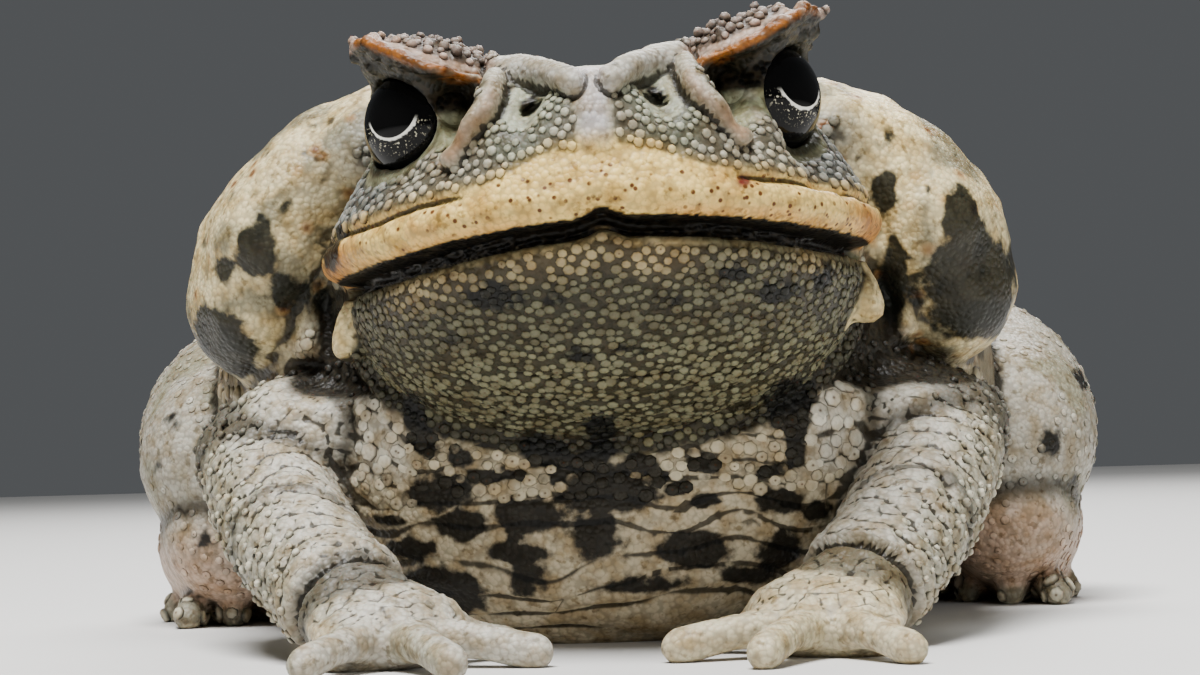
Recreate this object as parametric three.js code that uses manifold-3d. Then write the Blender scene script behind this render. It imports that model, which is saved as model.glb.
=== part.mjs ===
// Cane toad, a still life-size model of the whole animal, sitting on its belly.
// Millimetres, +Z up. The toad faces -Y, and its own left side is at +X.

import * as THREE from 'three';
import { mergeVertices } from 'three/addons/utils/BufferGeometryUtils.js';
import Module from 'manifold-3d';

const wasm = await Module();
wasm.setup();

// Driving dimensions
const SEAM_GAP = 0.3;
const SIDES = { left: 1, right: -1 };

// Torso stations: y, half width, top z, bottom z, z of the widest place
const TORSO_COLUMNS = 42;
const TORSO_ROWS = 28;
const TORSO_STATIONS = [
  [-45, 0, 21, 21, 21],
  [-44, 13, 34, 9, 21],
  [-40.5, 24, 48, 2.5, 22],
  [-34, 31, 58, -1, 24],
  [-24, 39, 64, -2, 26],
  [-9, 46, 68, -2.4, 27],
  [9, 50, 69, -2.4, 26],
  [27, 49, 64.5, -2.2, 25],
  [45, 41, 52.5, -1.8, 21],
  [60, 28, 37, 0.5, 17],
  [71, 13, 24, 6, 14],
  [74, 0, 14, 14, 14],
];
const TORSO_SQUARENESS = 0.88;

// Head: the vertical axis of the dome, and the roll that lifts the left side
const HEAD_AXIS_Y = -35;
const HEAD_ROLL = THREE.MathUtils.degToRad(2.8);
const HEAD_ROLL_Z = 45;
const HEAD_COLUMNS = 44;
const HEAD_ROWS = 25;
const HEAD_BACK_SHARE = 0.7;
const SNOUT_BLUNTNESS = 0.94;
const FRONTNESS_POWER = 4;

// Upper head rows from the palate up to the crown: front reach, front z, side reach, side z
const UPPER_HEAD = [
  [0, 44, 0, 44],
  [22, 44.8, 20, 42.4],
  [32.2, 44.6, 28, 42],
  [33.6, 44.8, 29.3, 42.2],
  [34.6, 45.9, 30.3, 43.2],
  [35, 48, 30.8, 45],
  [34.7, 50, 30.4, 46.8],
  [34.1, 51.6, 29.4, 48.2],
  [33.7, 54, 28, 50.6],
  [32.9, 56.6, 26, 53.6],
  [30.8, 59, 23.4, 57],
  [26.6, 61, 20.8, 60],
  [19, 62.1, 16.4, 62],
  [10, 62.4, 8.6, 62.6],
  [0, 62.3, 0, 62.3],
];

// Lower jaw and throat rows from the mouth down: front reach, front z, side reach, side z
const LOWER_JAW = [
  [0, 46, 0, 46],
  [24, 46, 21, 43.6],
  [31.6, 44.2, 27.6, 42.4],
  [32.8, 43.4, 28.6, 41],
  [33.3, 42.2, 28.9, 39.6],
  [32.6, 40.4, 28.6, 37.5],
  [30.2, 37, 27.4, 34.2],
  [26.4, 32.6, 25, 30.6],
  [21.4, 28.4, 21.4, 27.2],
  [14.6, 24.8, 15.6, 24.2],
  [7, 22.4, 8, 22.2],
  [0, 21.6, 0, 21.6],
];

// Ridges of the head in its own frame: width, height and the points that they pass through
const HEAD_RIDGES = {
  canthal: { width: 1.8, height: 1.9, points: [[9.6, -56, 62.6], [6.8, -60, 61.6], [1.9, -65.8, 58.6]] },
  preorbital: { width: 1.8, height: 2, points: [[9.7, -58.5, 61], [10.6, -62.6, 57.6], [14.9, -60.4, 52.7]] },
  snout: { width: 1.8, height: 0.8, points: [[0, -66, 59], [0, -69, 53]] },
};

// Eye, in the head's frame
const EYE = new THREE.Vector3(18.25, -49.8, 57.7);
const EYE_RADIUS = 6.4;
const LID_RADIUS = 7.3;
const EYE_AZIMUTH = THREE.MathUtils.degToRad(50);
const LID_OPENING = new THREE.Vector3(7.6, 4, 5.5);
const LID_OPENING_REACH = 6;

// Brow visor over the eye: its rim from the inner corner out to the tip and back, and its warty top
const VISOR_RIM = [
  [10.8, -57.6, 61.2, 1.2, 1.2],
  [18.2, -58.4, 63.2, 1.2, 1.4],
  [24, -52.6, 66.3, 1.3, 1.5],
  [24.2, -47.4, 66.2, 1.3, 1.5],
  [21.8, -42, 64.4, 1.2, 1.2],
  [17.6, -38, 61.8, 1.2, 1.2],
];
const BROW_MOUND = { centre: [16.8, -48.6, 63.4], radii: [8.6, 9.8, 4], tilt: THREE.MathUtils.degToRad(17) };

// Nostril pits
const NOSTRIL = { centre: [6.7, -66.4, 57.4], radii: [0.7, 2.4, 1.4], lean: -0.9 };

// Parotoid gland: path of its thick middle, with the half length along Y and the half thickness
const PAROTOID_PATH = [
  [25.5, -25, 57.5, 9, 7],
  [31.5, -20, 53.5, 14, 9.2],
  [37.5, -16.5, 46.5, 16, 10.2],
  [40.6, -16, 39.4, 13, 8.8],
];

// Lobe that hangs at each corner of the mouth
const MOUTH_LOBE_PATH = [
  [28.2, -36, 40.4, 1, 1],
  [28.4, -36.6, 37.6, 1.3, 1.3],
  [28.2, -37, 34.4, 2.1, 2.1],
];

// Limb joints of the two sides, each with the half width and half height of the limb
const ARM = {
  left: {
    shoulder: [26, -27, 26, 8, 8],
    aboveElbow: [34, -28, 25, 7.4, 7.4],
    elbow: [40, -25, 23, 7, 7],
    midForearm: [33.4, -41, 13.4, 7.5, 7.2],
    wrist: [25.4, -56, 5.6, 6.6, 5.6],
  },
  right: {
    shoulder: [-26, -28, 25, 8, 8],
    aboveElbow: [-35, -29, 24, 7.4, 7.4],
    elbow: [-41, -26, 22, 6.9, 6.9],
    midForearm: [-34.6, -42, 12.6, 7.4, 7.1],
    wrist: [-26.6, -57, 5.4, 6.6, 5.6],
  },
};

// Fingers: how far each tip lies from the wrist, towards the midline and forwards, and the radius
const PALM = { inwards: 4, forwards: 6.5, halfWidth: 9, halfHeight: 4.4 };
const FINGERS = [
  { tipInwards: 16, tipForwards: -1, radius: 1.95 },
  { tipInwards: 19, tipForwards: 11, radius: 2.1 },
  { tipInwards: 11, tipForwards: 21.5, radius: 2.1 },
  { tipInwards: -3.5, tipForwards: 20.5, radius: 2 },
];
const DIGIT_TIP_Z = 1.5;

// Hind leg: thigh from the hip to the knee, shin back to the ankle, foot forwards to the toes
const THIGH_PATH = [
  [20, 50, 28, 13, 13],
  [38, 43, 26, 16.5, 16.5],
  [48.6, 31, 24.6, 17, 17.4],
  [50.6, 17, 21.6, 13.4, 14],
];
const SHIN_PATH = [
  [52, 13, 11.5, 8.6, 9],
  [53.6, 28, 9.4, 9.6, 10],
  [48.4, 46, 8.4, 8.4, 9],
  [36, 60, 7.4, 6.6, 7],
];
const FOOT_PATH = [
  [33, 61, 5.4, 5.2, 5],
  [46, 52, 4.6, 5.4, 4.8],
  [57.6, 39, 4, 5.2, 4],
];
const TOES = [
  { tip: [44, 27], radius: 1.9 },
  { tip: [47.4, 19], radius: 2 },
  { tip: [52, 12], radius: 2.1 },
  { tip: [57.6, 9], radius: 2.2 },
  { tip: [61.6, 24], radius: 2 },
];
// How far each hind leg stands in from the paths above
const HIND_LEG_INWARDS = { left: 0, right: 3 };

// Warts, seeded so that they come out the same each time
const WART_SEED = 71;
const BACK_WARTS = 60;
const THIGH_WARTS = 16;
const WART_SIZE = [3.2, 4.6];
const WART_HEIGHT = [0.8, 1.4];

const SKINS = {
  head: new THREE.MeshStandardMaterial({ color: 0xb5a988, roughness: 0.55, metalness: 0 }),
  throat: new THREE.MeshStandardMaterial({ color: 0x6f684a, roughness: 0.6, metalness: 0 }),
  body: new THREE.MeshStandardMaterial({ color: 0x9c9176, roughness: 0.65, metalness: 0 }),
  gland: new THREE.MeshStandardMaterial({ color: 0xc6bd9f, roughness: 0.55, metalness: 0 }),
  limb: new THREE.MeshStandardMaterial({ color: 0xa9a088, roughness: 0.6, metalness: 0 }),
  eye: new THREE.MeshStandardMaterial({ color: 0x0a0a08, roughness: 0.05, metalness: 0 }),
};

// Gives random numbers from 0 to 1 in the same order each time.
function seededNumbers(seed) {
  let state = seed;
  return () => {
    state = (state * 1664525 + 1013904223) % 4294967296;
    return state / 4294967296;
  };
}

// Passes a smooth curve through rows of numbers, and gives the row at t from 0 to 1.
function glide(rows, t) {
  const span = THREE.MathUtils.clamp(t, 0, 1) * (rows.length - 1);
  const index = Math.min(Math.floor(span), rows.length - 2);
  const f = span - index;
  const before = rows[Math.max(index - 1, 0)];
  const start = rows[index];
  const end = rows[index + 1];
  const after = rows[Math.min(index + 2, rows.length - 1)];
  return start.map((value, k) => {
    const slopeIn = (end[k] - before[k]) / 2;
    const slopeOut = (after[k] - value) / 2;
    const rise = end[k] - value;
    return value + slopeIn * f + (3 * rise - 2 * slopeIn - slopeOut) * f * f
      + (slopeIn + slopeOut - 2 * rise) * f * f * f;
  });
}

// A sine or cosine raised to a power below 1, which squares off a round section.
function squared(value, power) {
  return Math.sign(value) * Math.abs(value) ** power;
}

// Makes the signed volume positive, so that faces point outwards.
function facedOutwards(geometry) {
  const { position } = geometry.attributes;
  const index = geometry.index.array;
  const corners = [new THREE.Vector3(), new THREE.Vector3(), new THREE.Vector3()];
  let volume = 0;
  for (let i = 0; i < index.length; i += 3) {
    corners.forEach((corner, k) => corner.fromBufferAttribute(position, index[i + k]));
    volume += corners[0].dot(corners[1].cross(corners[2]));
  }
  for (let i = 0; volume < 0 && i < index.length; i += 3) {
    [index[i], index[i + 1]] = [index[i + 1], index[i]];
  }
  return geometry;
}

// A closed form whose surface is a function of u round it and v from one pole to the other.
function closedForm(columns, rows, place) {
  const geometry = new THREE.SphereGeometry(1, columns, rows);
  const { position, uv } = geometry.attributes;
  for (let i = 0; i < position.count; i += 1) {
    position.setXYZ(i, ...place(uv.getX(i), 1 - uv.getY(i)));
  }
  geometry.deleteAttribute('normal');
  geometry.deleteAttribute('uv');
  return facedOutwards(mergeVertices(geometry, 1e-3));
}

// Moves each vertex along its normal by the height that the function gives for its place.
function raised(geometry, heightAt) {
  const copy = geometry.clone();
  copy.computeVertexNormals();
  const { position, normal } = copy.attributes;
  const point = new THREE.Vector3();
  const outwards = new THREE.Vector3();
  for (let i = 0; i < position.count; i += 1) {
    point.fromBufferAttribute(position, i);
    outwards.fromBufferAttribute(normal, i);
    point.addScaledVector(outwards, heightAt(point, outwards));
    position.setXYZ(i, point.x, point.y, point.z);
  }
  copy.deleteAttribute('normal');
  return copy;
}

function solidOf(geometry) {
  return new wasm.Manifold(new wasm.Mesh({
    numProp: 3,
    vertProperties: new Float32Array(geometry.attributes.position.array),
    triVerts: new Uint32Array(geometry.index.array),
  }));
}

// Joins forms into one solid, each swollen first where room is needed around them.
function joined(forms, swell = 0) {
  return forms
    .map((form) => solidOf(swell === 0 ? form : raised(form, () => swell)))
    .reduce((sum, next) => sum.add(next));
}

// Cuts the space that the neighbours need out of a solid, with the seam's gap.
function clearOf(solid, neighbours) {
  return neighbours.reduce((rest, forms) => rest.subtract(joined(forms, SEAM_GAP)), solid);
}

function ellipsoid(centre, radii, columns, rows) {
  return closedForm(columns, rows, (u, v) => {
    const around = u * 2 * Math.PI;
    const down = v * Math.PI;
    return [
      centre[0] + radii[0] * Math.sin(down) * Math.cos(around),
      centre[1] + radii[1] * Math.sin(down) * Math.sin(around),
      centre[2] + radii[2] * Math.cos(down),
    ];
  });
}

// A limb or ridge: oval sections along a smooth path, round at both ends.
// Each row of the path is x, y, z, the half width along `across` and the half height.
function limb(path, across, columns, rows, capRows = 3) {
  const cap = capRows / rows;
  const step = 0.01;
  const reference = new THREE.Vector3(...across);
  return closedForm(columns, rows, (u, v) => {
    const t = THREE.MathUtils.clamp((v - cap) / (1 - 2 * cap), 0, 1);
    const [x, y, z, halfWidth, halfHeight] = glide(path, t);
    const ahead = new THREE.Vector3(...glide(path, t + step).slice(0, 3));
    const behind = new THREE.Vector3(...glide(path, t - step).slice(0, 3));
    const tangent = ahead.sub(behind).normalize();
    const side = reference.clone().addScaledVector(tangent, -reference.dot(tangent)).normalize();
    const up = tangent.clone().cross(side);
    let lean = 0;
    let open = 1;
    if (v < cap) {
      lean = -Math.cos((v / cap) * (Math.PI / 2));
      open = Math.sin((v / cap) * (Math.PI / 2));
    } else if (v > 1 - cap) {
      lean = Math.cos(((1 - v) / cap) * (Math.PI / 2));
      open = Math.sin(((1 - v) / cap) * (Math.PI / 2));
    }
    const around = u * 2 * Math.PI;
    const point = new THREE.Vector3(x, y, z)
      .addScaledVector(tangent, lean * Math.min(halfWidth, halfHeight))
      .addScaledVector(side, open * halfWidth * Math.cos(around))
      .addScaledVector(up, open * halfHeight * Math.sin(around));
    return point.toArray();
  });
}

// Takes a path given for the left side to either side, moved in towards the middle.
function mirrored(path, side, inwards = 0) {
  return path.map((row) => [(row[0] - inwards) * side, ...row.slice(1)]);
}

// Turns a form from the head's frame, about the head's roll axis.
function rolled(geometry) {
  geometry.translate(0, 0, -HEAD_ROLL_Z);
  geometry.rotateY(-HEAD_ROLL);
  geometry.translate(0, 0, HEAD_ROLL_Z);
  return geometry;
}

// The dome of the upper head or of the lower jaw, from its rows of reaches and heights.
function jawDome(rows, columns, steps) {
  return closedForm(columns, steps, (u, v) => {
    const [frontReach, frontZ, sideReach, sideZ] = glide(rows, v);
    const around = (u - 0.5) * 2 * Math.PI;
    const azimuth = around - 0.3 * Math.sin(around);
    const sine = squared(Math.sin(azimuth), SNOUT_BLUNTNESS);
    const cosine = squared(Math.cos(azimuth), SNOUT_BLUNTNESS);
    const depth = cosine > 0 ? frontReach : sideReach * HEAD_BACK_SHARE;
    const frontness = Math.max(cosine, 0) ** FRONTNESS_POWER;
    return [
      sideReach * sine,
      HEAD_AXIS_Y - depth * cosine,
      THREE.MathUtils.lerp(sideZ, frontZ, frontness),
    ];
  });
}

// Height that a ridge adds at a point: a rounded bank along the ridge's line, on both sides of the head.
function ridgeHeight(ridge, point) {
  const folded = new THREE.Vector3(Math.abs(point.x), point.y, point.z);
  const nearest = new THREE.Vector3();
  let distance = Infinity;
  for (let i = 1; i < ridge.points.length; i += 1) {
    const stretch = new THREE.Line3(
      new THREE.Vector3(...ridge.points[i - 1]),
      new THREE.Vector3(...ridge.points[i]),
    );
    stretch.closestPointToPoint(folded, true, nearest);
    distance = Math.min(distance, nearest.distanceTo(folded));
  }
  return ridge.height * Math.exp(-((distance / ridge.width) ** 2));
}

function eyeCentre(side) {
  return [EYE.x * side, EYE.y, EYE.z];
}

function eyeForm(side, radius, columns, rows) {
  return rolled(ellipsoid(eyeCentre(side), [radius, radius, radius], columns, rows));
}

// The rounded opening between the lids, which faces outwards and a little forwards.
function lidOpening(side) {
  const opening = ellipsoid([0, 0, 0], LID_OPENING.toArray(), 16, 10);
  opening.translate(0, -LID_OPENING_REACH, 0);
  opening.rotateZ(EYE_AZIMUTH * side);
  opening.translate(...eyeCentre(side));
  return rolled(opening);
}

function nostrilPit(side) {
  const pit = ellipsoid([0, 0, 0], NOSTRIL.radii, 10, 8);
  pit.rotateY(NOSTRIL.lean * side);
  pit.translate(NOSTRIL.centre[0] * side, NOSTRIL.centre[1], NOSTRIL.centre[2]);
  return rolled(pit);
}

function browForms(side) {
  const { centre, radii, tilt } = BROW_MOUND;
  const mound = ellipsoid([0, 0, 0], radii, 16, 8);
  mound.rotateY(-tilt * side);
  mound.translate(centre[0] * side, centre[1], centre[2]);
  return [rolled(mound), rolled(limb(mirrored(VISOR_RIM, side), [0, 0, 1], 8, 16))];
}

function upperHeadForm() {
  const dome = jawDome(UPPER_HEAD, HEAD_COLUMNS, HEAD_ROWS);
  const ridges = Object.values(HEAD_RIDGES);
  return rolled(raised(dome, (point) => ridges.reduce((sum, ridge) => sum + ridgeHeight(ridge, point), 0)));
}

function lowerJawForms() {
  const dome = rolled(jawDome(LOWER_JAW, 40, 16));
  const lobes = Object.values(SIDES).map((side) => (
    rolled(limb(mirrored(MOUTH_LOBE_PATH, side), [1, 0, 0], 8, 9))
  ));
  return [dome, ...lobes];
}

// Scatters warts over a form: each is a place on its surface, a size and a height.
function scatterWarts(geometry, count, random, wanted) {
  const { position } = geometry.attributes;
  const warts = [];
  for (let tries = 0; warts.length < count && tries < 4000; tries += 1) {
    const centre = new THREE.Vector3().fromBufferAttribute(position, Math.floor(random() * position.count));
    const size = THREE.MathUtils.lerp(...WART_SIZE, random());
    const height = THREE.MathUtils.lerp(...WART_HEIGHT, random());
    const isClear = warts.every((wart) => wart.centre.distanceTo(centre) > wart.size + size);
    if (wanted(centre) && isClear) {
      warts.push({ centre, size, height });
    }
  }
  return warts;
}

function warted(geometry, warts) {
  return raised(geometry, (point) => warts.reduce((sum, wart) => (
    sum + wart.height * Math.exp(-2 * (wart.centre.distanceTo(point) / wart.size) ** 2)
  ), 0));
}

function torsoForm(random) {
  const smooth = closedForm(TORSO_COLUMNS, TORSO_ROWS, (u, v) => {
    const [y, halfWidth, top, bottom, wide] = glide(TORSO_STATIONS, v);
    const around = u * 2 * Math.PI;
    const sine = squared(Math.sin(around), TORSO_SQUARENESS);
    const height = sine > 0 ? top - wide : wide - bottom;
    return [halfWidth * squared(Math.cos(around), TORSO_SQUARENESS), y, wide + height * sine];
  });
  const onBack = (point) => point.z > 26 && point.y > -22;
  return warted(smooth, scatterWarts(smooth, BACK_WARTS, random, onBack));
}

function parotoidForm(side) {
  return limb(mirrored(PAROTOID_PATH, side), [0, 1, 0], 18, 14, 4);
}

function upperArmForm(name) {
  const { shoulder, aboveElbow, elbow } = ARM[name];
  return limb([shoulder, aboveElbow, elbow], [0, 0, 1], 12, 10);
}

function forearmForm(name) {
  const { elbow, midForearm, wrist } = ARM[name];
  return limb([elbow, midForearm, wrist], [1, 0, 0], 14, 14);
}

// The palm and its four fingers, which turn towards the midline.
function handForms(name) {
  const side = SIDES[name];
  const { wrist } = ARM[name];
  const palm = [
    wrist[0] - PALM.inwards * side,
    wrist[1] - PALM.forwards,
    PALM.halfHeight * 0.75,
  ];
  const palmPath = [
    [wrist[0], wrist[1], wrist[2], 6.2, 5.2],
    [...palm, PALM.halfWidth, PALM.halfHeight],
  ];
  const fingers = FINGERS.map(({ tipInwards, tipForwards, radius }) => {
    const tip = [wrist[0] - tipInwards * side, wrist[1] - tipForwards, DIGIT_TIP_Z];
    const knuckle = [
      THREE.MathUtils.lerp(palm[0], tip[0], 0.5),
      THREE.MathUtils.lerp(palm[1], tip[1], 0.5),
      DIGIT_TIP_Z + 1.4,
    ];
    const root = [palm[0], palm[1], palm[2] * 0.8];
    return limb([
      [...root, radius * 1.7, radius * 1.4],
      [...knuckle, radius, radius],
      [...tip, radius * 1.05, radius * 0.95],
    ], [0, 0, 1], 7, 9);
  });
  return [limb(palmPath, [1, 0, 0], 12, 10, 3), ...fingers];
}

function thighForm(name, random) {
  const path = mirrored(THIGH_PATH, SIDES[name], HIND_LEG_INWARDS[name]);
  const smooth = limb(path, [0, 0, 1], 20, 16, 4);
  const outside = (point) => point.z > 18 && Math.abs(point.x) > 40;
  return warted(smooth, scatterWarts(smooth, THIGH_WARTS, random, outside));
}

function shinForm(name) {
  return limb(mirrored(SHIN_PATH, SIDES[name], HIND_LEG_INWARDS[name]), [0, 0, 1], 13, 12, 3);
}

// The sole and its five toes, which point forwards beside the belly.
function footForms(name) {
  const side = SIDES[name];
  const inwards = HIND_LEG_INWARDS[name];
  const sole = limb(mirrored(FOOT_PATH, side, inwards), [1, 0, 0], 10, 10, 3);
  const ball = FOOT_PATH[FOOT_PATH.length - 1];
  const toes = TOES.map(({ tip, radius }) => {
    const middle = [
      THREE.MathUtils.lerp(ball[0], tip[0], 0.5),
      THREE.MathUtils.lerp(ball[1], tip[1], 0.5),
      DIGIT_TIP_Z + 1,
    ];
    return limb(mirrored([
      [ball[0], ball[1], ball[2] * 0.8, radius * 1.4, radius * 1.3],
      [...middle, radius, radius],
      [...tip, DIGIT_TIP_Z, radius, radius * 0.95],
    ], side, inwards), [0, 0, 1], 7, 8, 2);
  });
  return [sole, ...toes];
}

// Everything below the level that the toad sits on is cut away flat.
const floorCut = new THREE.BoxGeometry(400, 400, 40);
floorCut.translate(0, 0, -20);
floorCut.deleteAttribute('normal');
floorCut.deleteAttribute('uv');
const floorSolid = solidOf(mergeVertices(floorCut));

const toad = new THREE.Group();

// Adds a node: the largest closed surface of a solid, cut at the floor.
function addNode(name, solid, material) {
  const bodies = solid.subtract(floorSolid).decompose();
  bodies.sort((a, b) => b.volume() - a.volume());
  const { vertProperties, triVerts } = bodies[0].getMesh();
  const geometry = new THREE.BufferGeometry();
  geometry.setAttribute('position', new THREE.Float32BufferAttribute(vertProperties, 3));
  geometry.setIndex([...triVerts]);
  geometry.computeVertexNormals();
  const mesh = new THREE.Mesh(geometry, material);
  mesh.name = name;
  toad.add(mesh);
}

const random = seededNumbers(WART_SEED);
const torso = [torsoForm(random)];
const eyes = Object.values(SIDES).map((side) => eyeForm(side, EYE_RADIUS, 16, 10));
const upperHead = [upperHeadForm()];
for (const side of Object.values(SIDES)) {
  upperHead.push(eyeForm(side, LID_RADIUS, 16, 10), ...browForms(side));
}
const openings = Object.values(SIDES).flatMap((side) => [lidOpening(side), nostrilPit(side)]);
const jaw = lowerJawForms();

addNode('torso', joined(torso), SKINS.body);
addNode('head', clearOf(joined(upperHead).subtract(joined(openings)), [torso, eyes]), SKINS.head);
addNode('lower_jaw', clearOf(joined(jaw), [torso, upperHead]), SKINS.throat);

for (const [name, side] of Object.entries(SIDES)) {
  const eye = eyes[Object.keys(SIDES).indexOf(name)];
  const parotoid = [parotoidForm(side)];
  const upperArm = [upperArmForm(name)];
  const forearm = [forearmForm(name)];
  const thigh = [thighForm(name, random)];
  const shin = [shinForm(name)];
  addNode(`eye_${name}`, joined([eye]), SKINS.eye);
  addNode(`parotoid_${name}`, clearOf(joined(parotoid), [torso, upperHead, jaw]), SKINS.gland);
  addNode(`upper_arm_${name}`, clearOf(joined(upperArm), [torso, parotoid, jaw]), SKINS.limb);
  addNode(`forearm_${name}`, clearOf(joined(forearm), [torso, upperArm, parotoid]), SKINS.limb);
  addNode(`hand_${name}`, clearOf(joined(handForms(name)), [forearm]), SKINS.limb);
  addNode(`thigh_${name}`, clearOf(joined(thigh), [torso]), SKINS.limb);
  addNode(`shin_${name}`, clearOf(joined(shin), [torso, thigh]), SKINS.limb);
  addNode(`foot_${name}`, clearOf(joined(footForms(name)), [torso, thigh, shin]), SKINS.limb);
}

// The origin is under the middle of the toad's length and width, on the level that it sits on.
const extent = new THREE.Box3().setFromObject(toad);
toad.position.set(-(extent.min.x + extent.max.x) / 2, -(extent.min.y + extent.max.y) / 2, -extent.min.z);
toad.updateMatrixWorld(true);

export default toad;
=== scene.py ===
"""Cane toad, a still life-size model: its skin, its eyes, its granules, and a plain stage.

Sizes are in millimetres in the toad's own frame, in which its snout is at y = -70, and every mesh
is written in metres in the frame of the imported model.
"""

import math

import bpy
import numpy as np
from mathutils import Matrix, Vector
from mathutils.bvhtree import BVHTree


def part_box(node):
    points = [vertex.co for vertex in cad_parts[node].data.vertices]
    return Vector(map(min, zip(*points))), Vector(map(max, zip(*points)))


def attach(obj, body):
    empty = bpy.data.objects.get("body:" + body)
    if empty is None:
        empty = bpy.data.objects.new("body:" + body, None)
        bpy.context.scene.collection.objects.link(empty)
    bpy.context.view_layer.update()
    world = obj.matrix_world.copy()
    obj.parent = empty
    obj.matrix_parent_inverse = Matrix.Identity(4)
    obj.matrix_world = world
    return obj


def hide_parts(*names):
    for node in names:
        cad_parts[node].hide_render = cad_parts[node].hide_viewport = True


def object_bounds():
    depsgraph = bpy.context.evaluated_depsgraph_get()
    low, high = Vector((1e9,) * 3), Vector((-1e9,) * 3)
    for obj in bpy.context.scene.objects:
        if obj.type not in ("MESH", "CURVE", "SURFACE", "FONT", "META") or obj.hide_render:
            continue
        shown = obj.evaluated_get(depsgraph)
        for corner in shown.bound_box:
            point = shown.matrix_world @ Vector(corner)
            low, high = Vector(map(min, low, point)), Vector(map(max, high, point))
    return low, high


bl_info = {
    "name": "Cane toad",
    "version": (1, 0, 0),
    "blender": (4, 5, 0),
    "location": "View3D > Sidebar > Toad",
    "description": "Builds a life-size cane toad over its packed solids",
    "category": "Add Mesh",
}

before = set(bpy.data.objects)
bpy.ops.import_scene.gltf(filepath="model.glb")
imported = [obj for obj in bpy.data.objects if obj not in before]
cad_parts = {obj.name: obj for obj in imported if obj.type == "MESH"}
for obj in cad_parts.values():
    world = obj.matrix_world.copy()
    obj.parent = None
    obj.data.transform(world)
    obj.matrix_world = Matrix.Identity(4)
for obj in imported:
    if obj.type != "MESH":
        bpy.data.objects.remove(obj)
CAD_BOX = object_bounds()

MM = 0.001
SIDES = {"left": 1, "right": -1}
# A gap wider than any on the toad
FAR = 1e9

# Torso stations: y, half width, top z, bottom z, z of the widest place
TORSO_STATIONS = [
    (-45, 0, 21, 21, 21),
    (-44, 13, 34, 9, 21),
    (-40.5, 24, 48, 2.5, 22),
    (-34, 31, 58, -1, 24),
    (-24, 39, 64, -2, 26),
    (-9, 46, 68, -2.4, 27),
    (9, 50, 69, -2.4, 26),
    (27, 49, 64.5, -2.2, 25),
    (45, 41, 52.5, -1.8, 21),
    (60, 28, 37, 0.5, 17),
    (71, 13, 24, 6, 14),
    (74, 0, 14, 14, 14),
]
TORSO_SQUARENESS = 0.88

# Head: the vertical axis of the dome, and the roll that lifts the left side
HEAD_AXIS_Y = -35.0
HEAD_ROLL = math.radians(2.8)
HEAD_ROLL_Z = 45.0
HEAD_BACK_SHARE = 0.7
FRONTNESS_POWER = 4
SNOUT_BLUNTNESS = 0.94

# Upper head rows from the palate up to the crown: front reach, front z, side reach, side z
UPPER_HEAD = [
    (0, 44, 0, 44),
    (22, 44.8, 20, 42.4),
    (32.2, 44.6, 28, 42),
    (33.6, 44.8, 29.3, 42.2),
    (34.6, 45.9, 30.3, 43.2),
    (35, 48, 30.8, 45),
    (34.7, 50, 30.4, 46.8),
    (34.1, 51.6, 29.4, 48.2),
    (33.7, 54, 28, 50.6),
    (32.9, 56.6, 26, 53.6),
    (30.8, 59, 23.4, 57),
    (26.6, 61, 20.8, 60),
    (19, 62.1, 16.4, 62),
    (10, 62.4, 8.6, 62.6),
    (0, 62.3, 0, 62.3),
]

# Lower jaw and throat rows from the mouth down: front reach, front z, side reach, side z
LOWER_JAW = [
    (0, 46, 0, 46),
    (24, 46, 21, 43.6),
    (31.6, 45, 27.6, 42.8),
    (33, 43.9, 28.8, 41.2),
    (33.4, 42.6, 29, 39.8),
    (32.6, 40.4, 28.6, 37.5),
    (30.2, 37, 27.4, 34.2),
    (26.4, 32.6, 25, 30.6),
    (21.4, 28.4, 21.4, 27.2),
    (14.6, 24.8, 15.6, 24.2),
    (7, 22.4, 8, 22.2),
    (0, 21.6, 0, 21.6),
]

# Ridges and hollows of the head in its own frame: width, height and the points passed through
HEAD_RIDGES = {
    "canthal": (1.25, 1.9, [(9.6, -55, 62.3), (6.7, -59, 61.5), (4.3, -62.5, 60.3), (2, -65.4, 58.6)]),
    "preorbital": (1.3, 2.1, [(9.7, -57, 60.4), (10.3, -61, 58.4), (11, -62, 56.9),
                              (12.6, -61.6, 55.4)]),
    "preorbital_foot": (1.4, 1.7, [(12.6, -61.6, 55.4), (14.2, -61, 53.8), (14.9, -60.6, 52.5)]),
    "snout": (1.7, 1.0, [(0, -66, 58.6), (0, -69, 53.5)]),
    "nostril_recess": (1.9, -1.6, [(6.2, -64.4, 58.8), (7.4, -66, 56.4)]),
    "lid_panel": (1.7, -2.4, [(14.2, -59, 59), (15.2, -59.4, 54.5)]),
    "cheek_fold": (1.0, -0.8, [(16.5, -60, 51.5), (20, -56, 51), (23.5, -50, 51.4)]),
}
# The ridges that are fleshy cords with a crease along either side
FACE_CORDS = ("canthal", "preorbital", "preorbital_foot")
# The cord before the eye, from end to end
PREORBITAL_LINE = HEAD_RIDGES["preorbital"][2] + HEAD_RIDGES["preorbital_foot"][2][1:]
# Share of a ridge's height that the head's form has, before the skin's relief adds more
SOFT_SHARE = 0.5

# Eye, in the head's frame
EYE = (18.25, -49.8, 57.7)
EYE_RADIUS = 6.4
LID_RADIUS = 7.3
# Where the lids part, in degrees: corners in azimuth from straight ahead, the level of the
# corners, and the azimuth and height of the upper and the lower edge's farthest place
LID_CORNERS = {"left": (0, 120), "right": (-12, 118)}
LID_CORNER_LEVEL = -2
UPPER_LID_EDGE = {"left": (70, 52), "right": (68, 50)}
LOWER_LID_EDGE = {"left": (44, -54), "right": (36, -43)}

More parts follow.
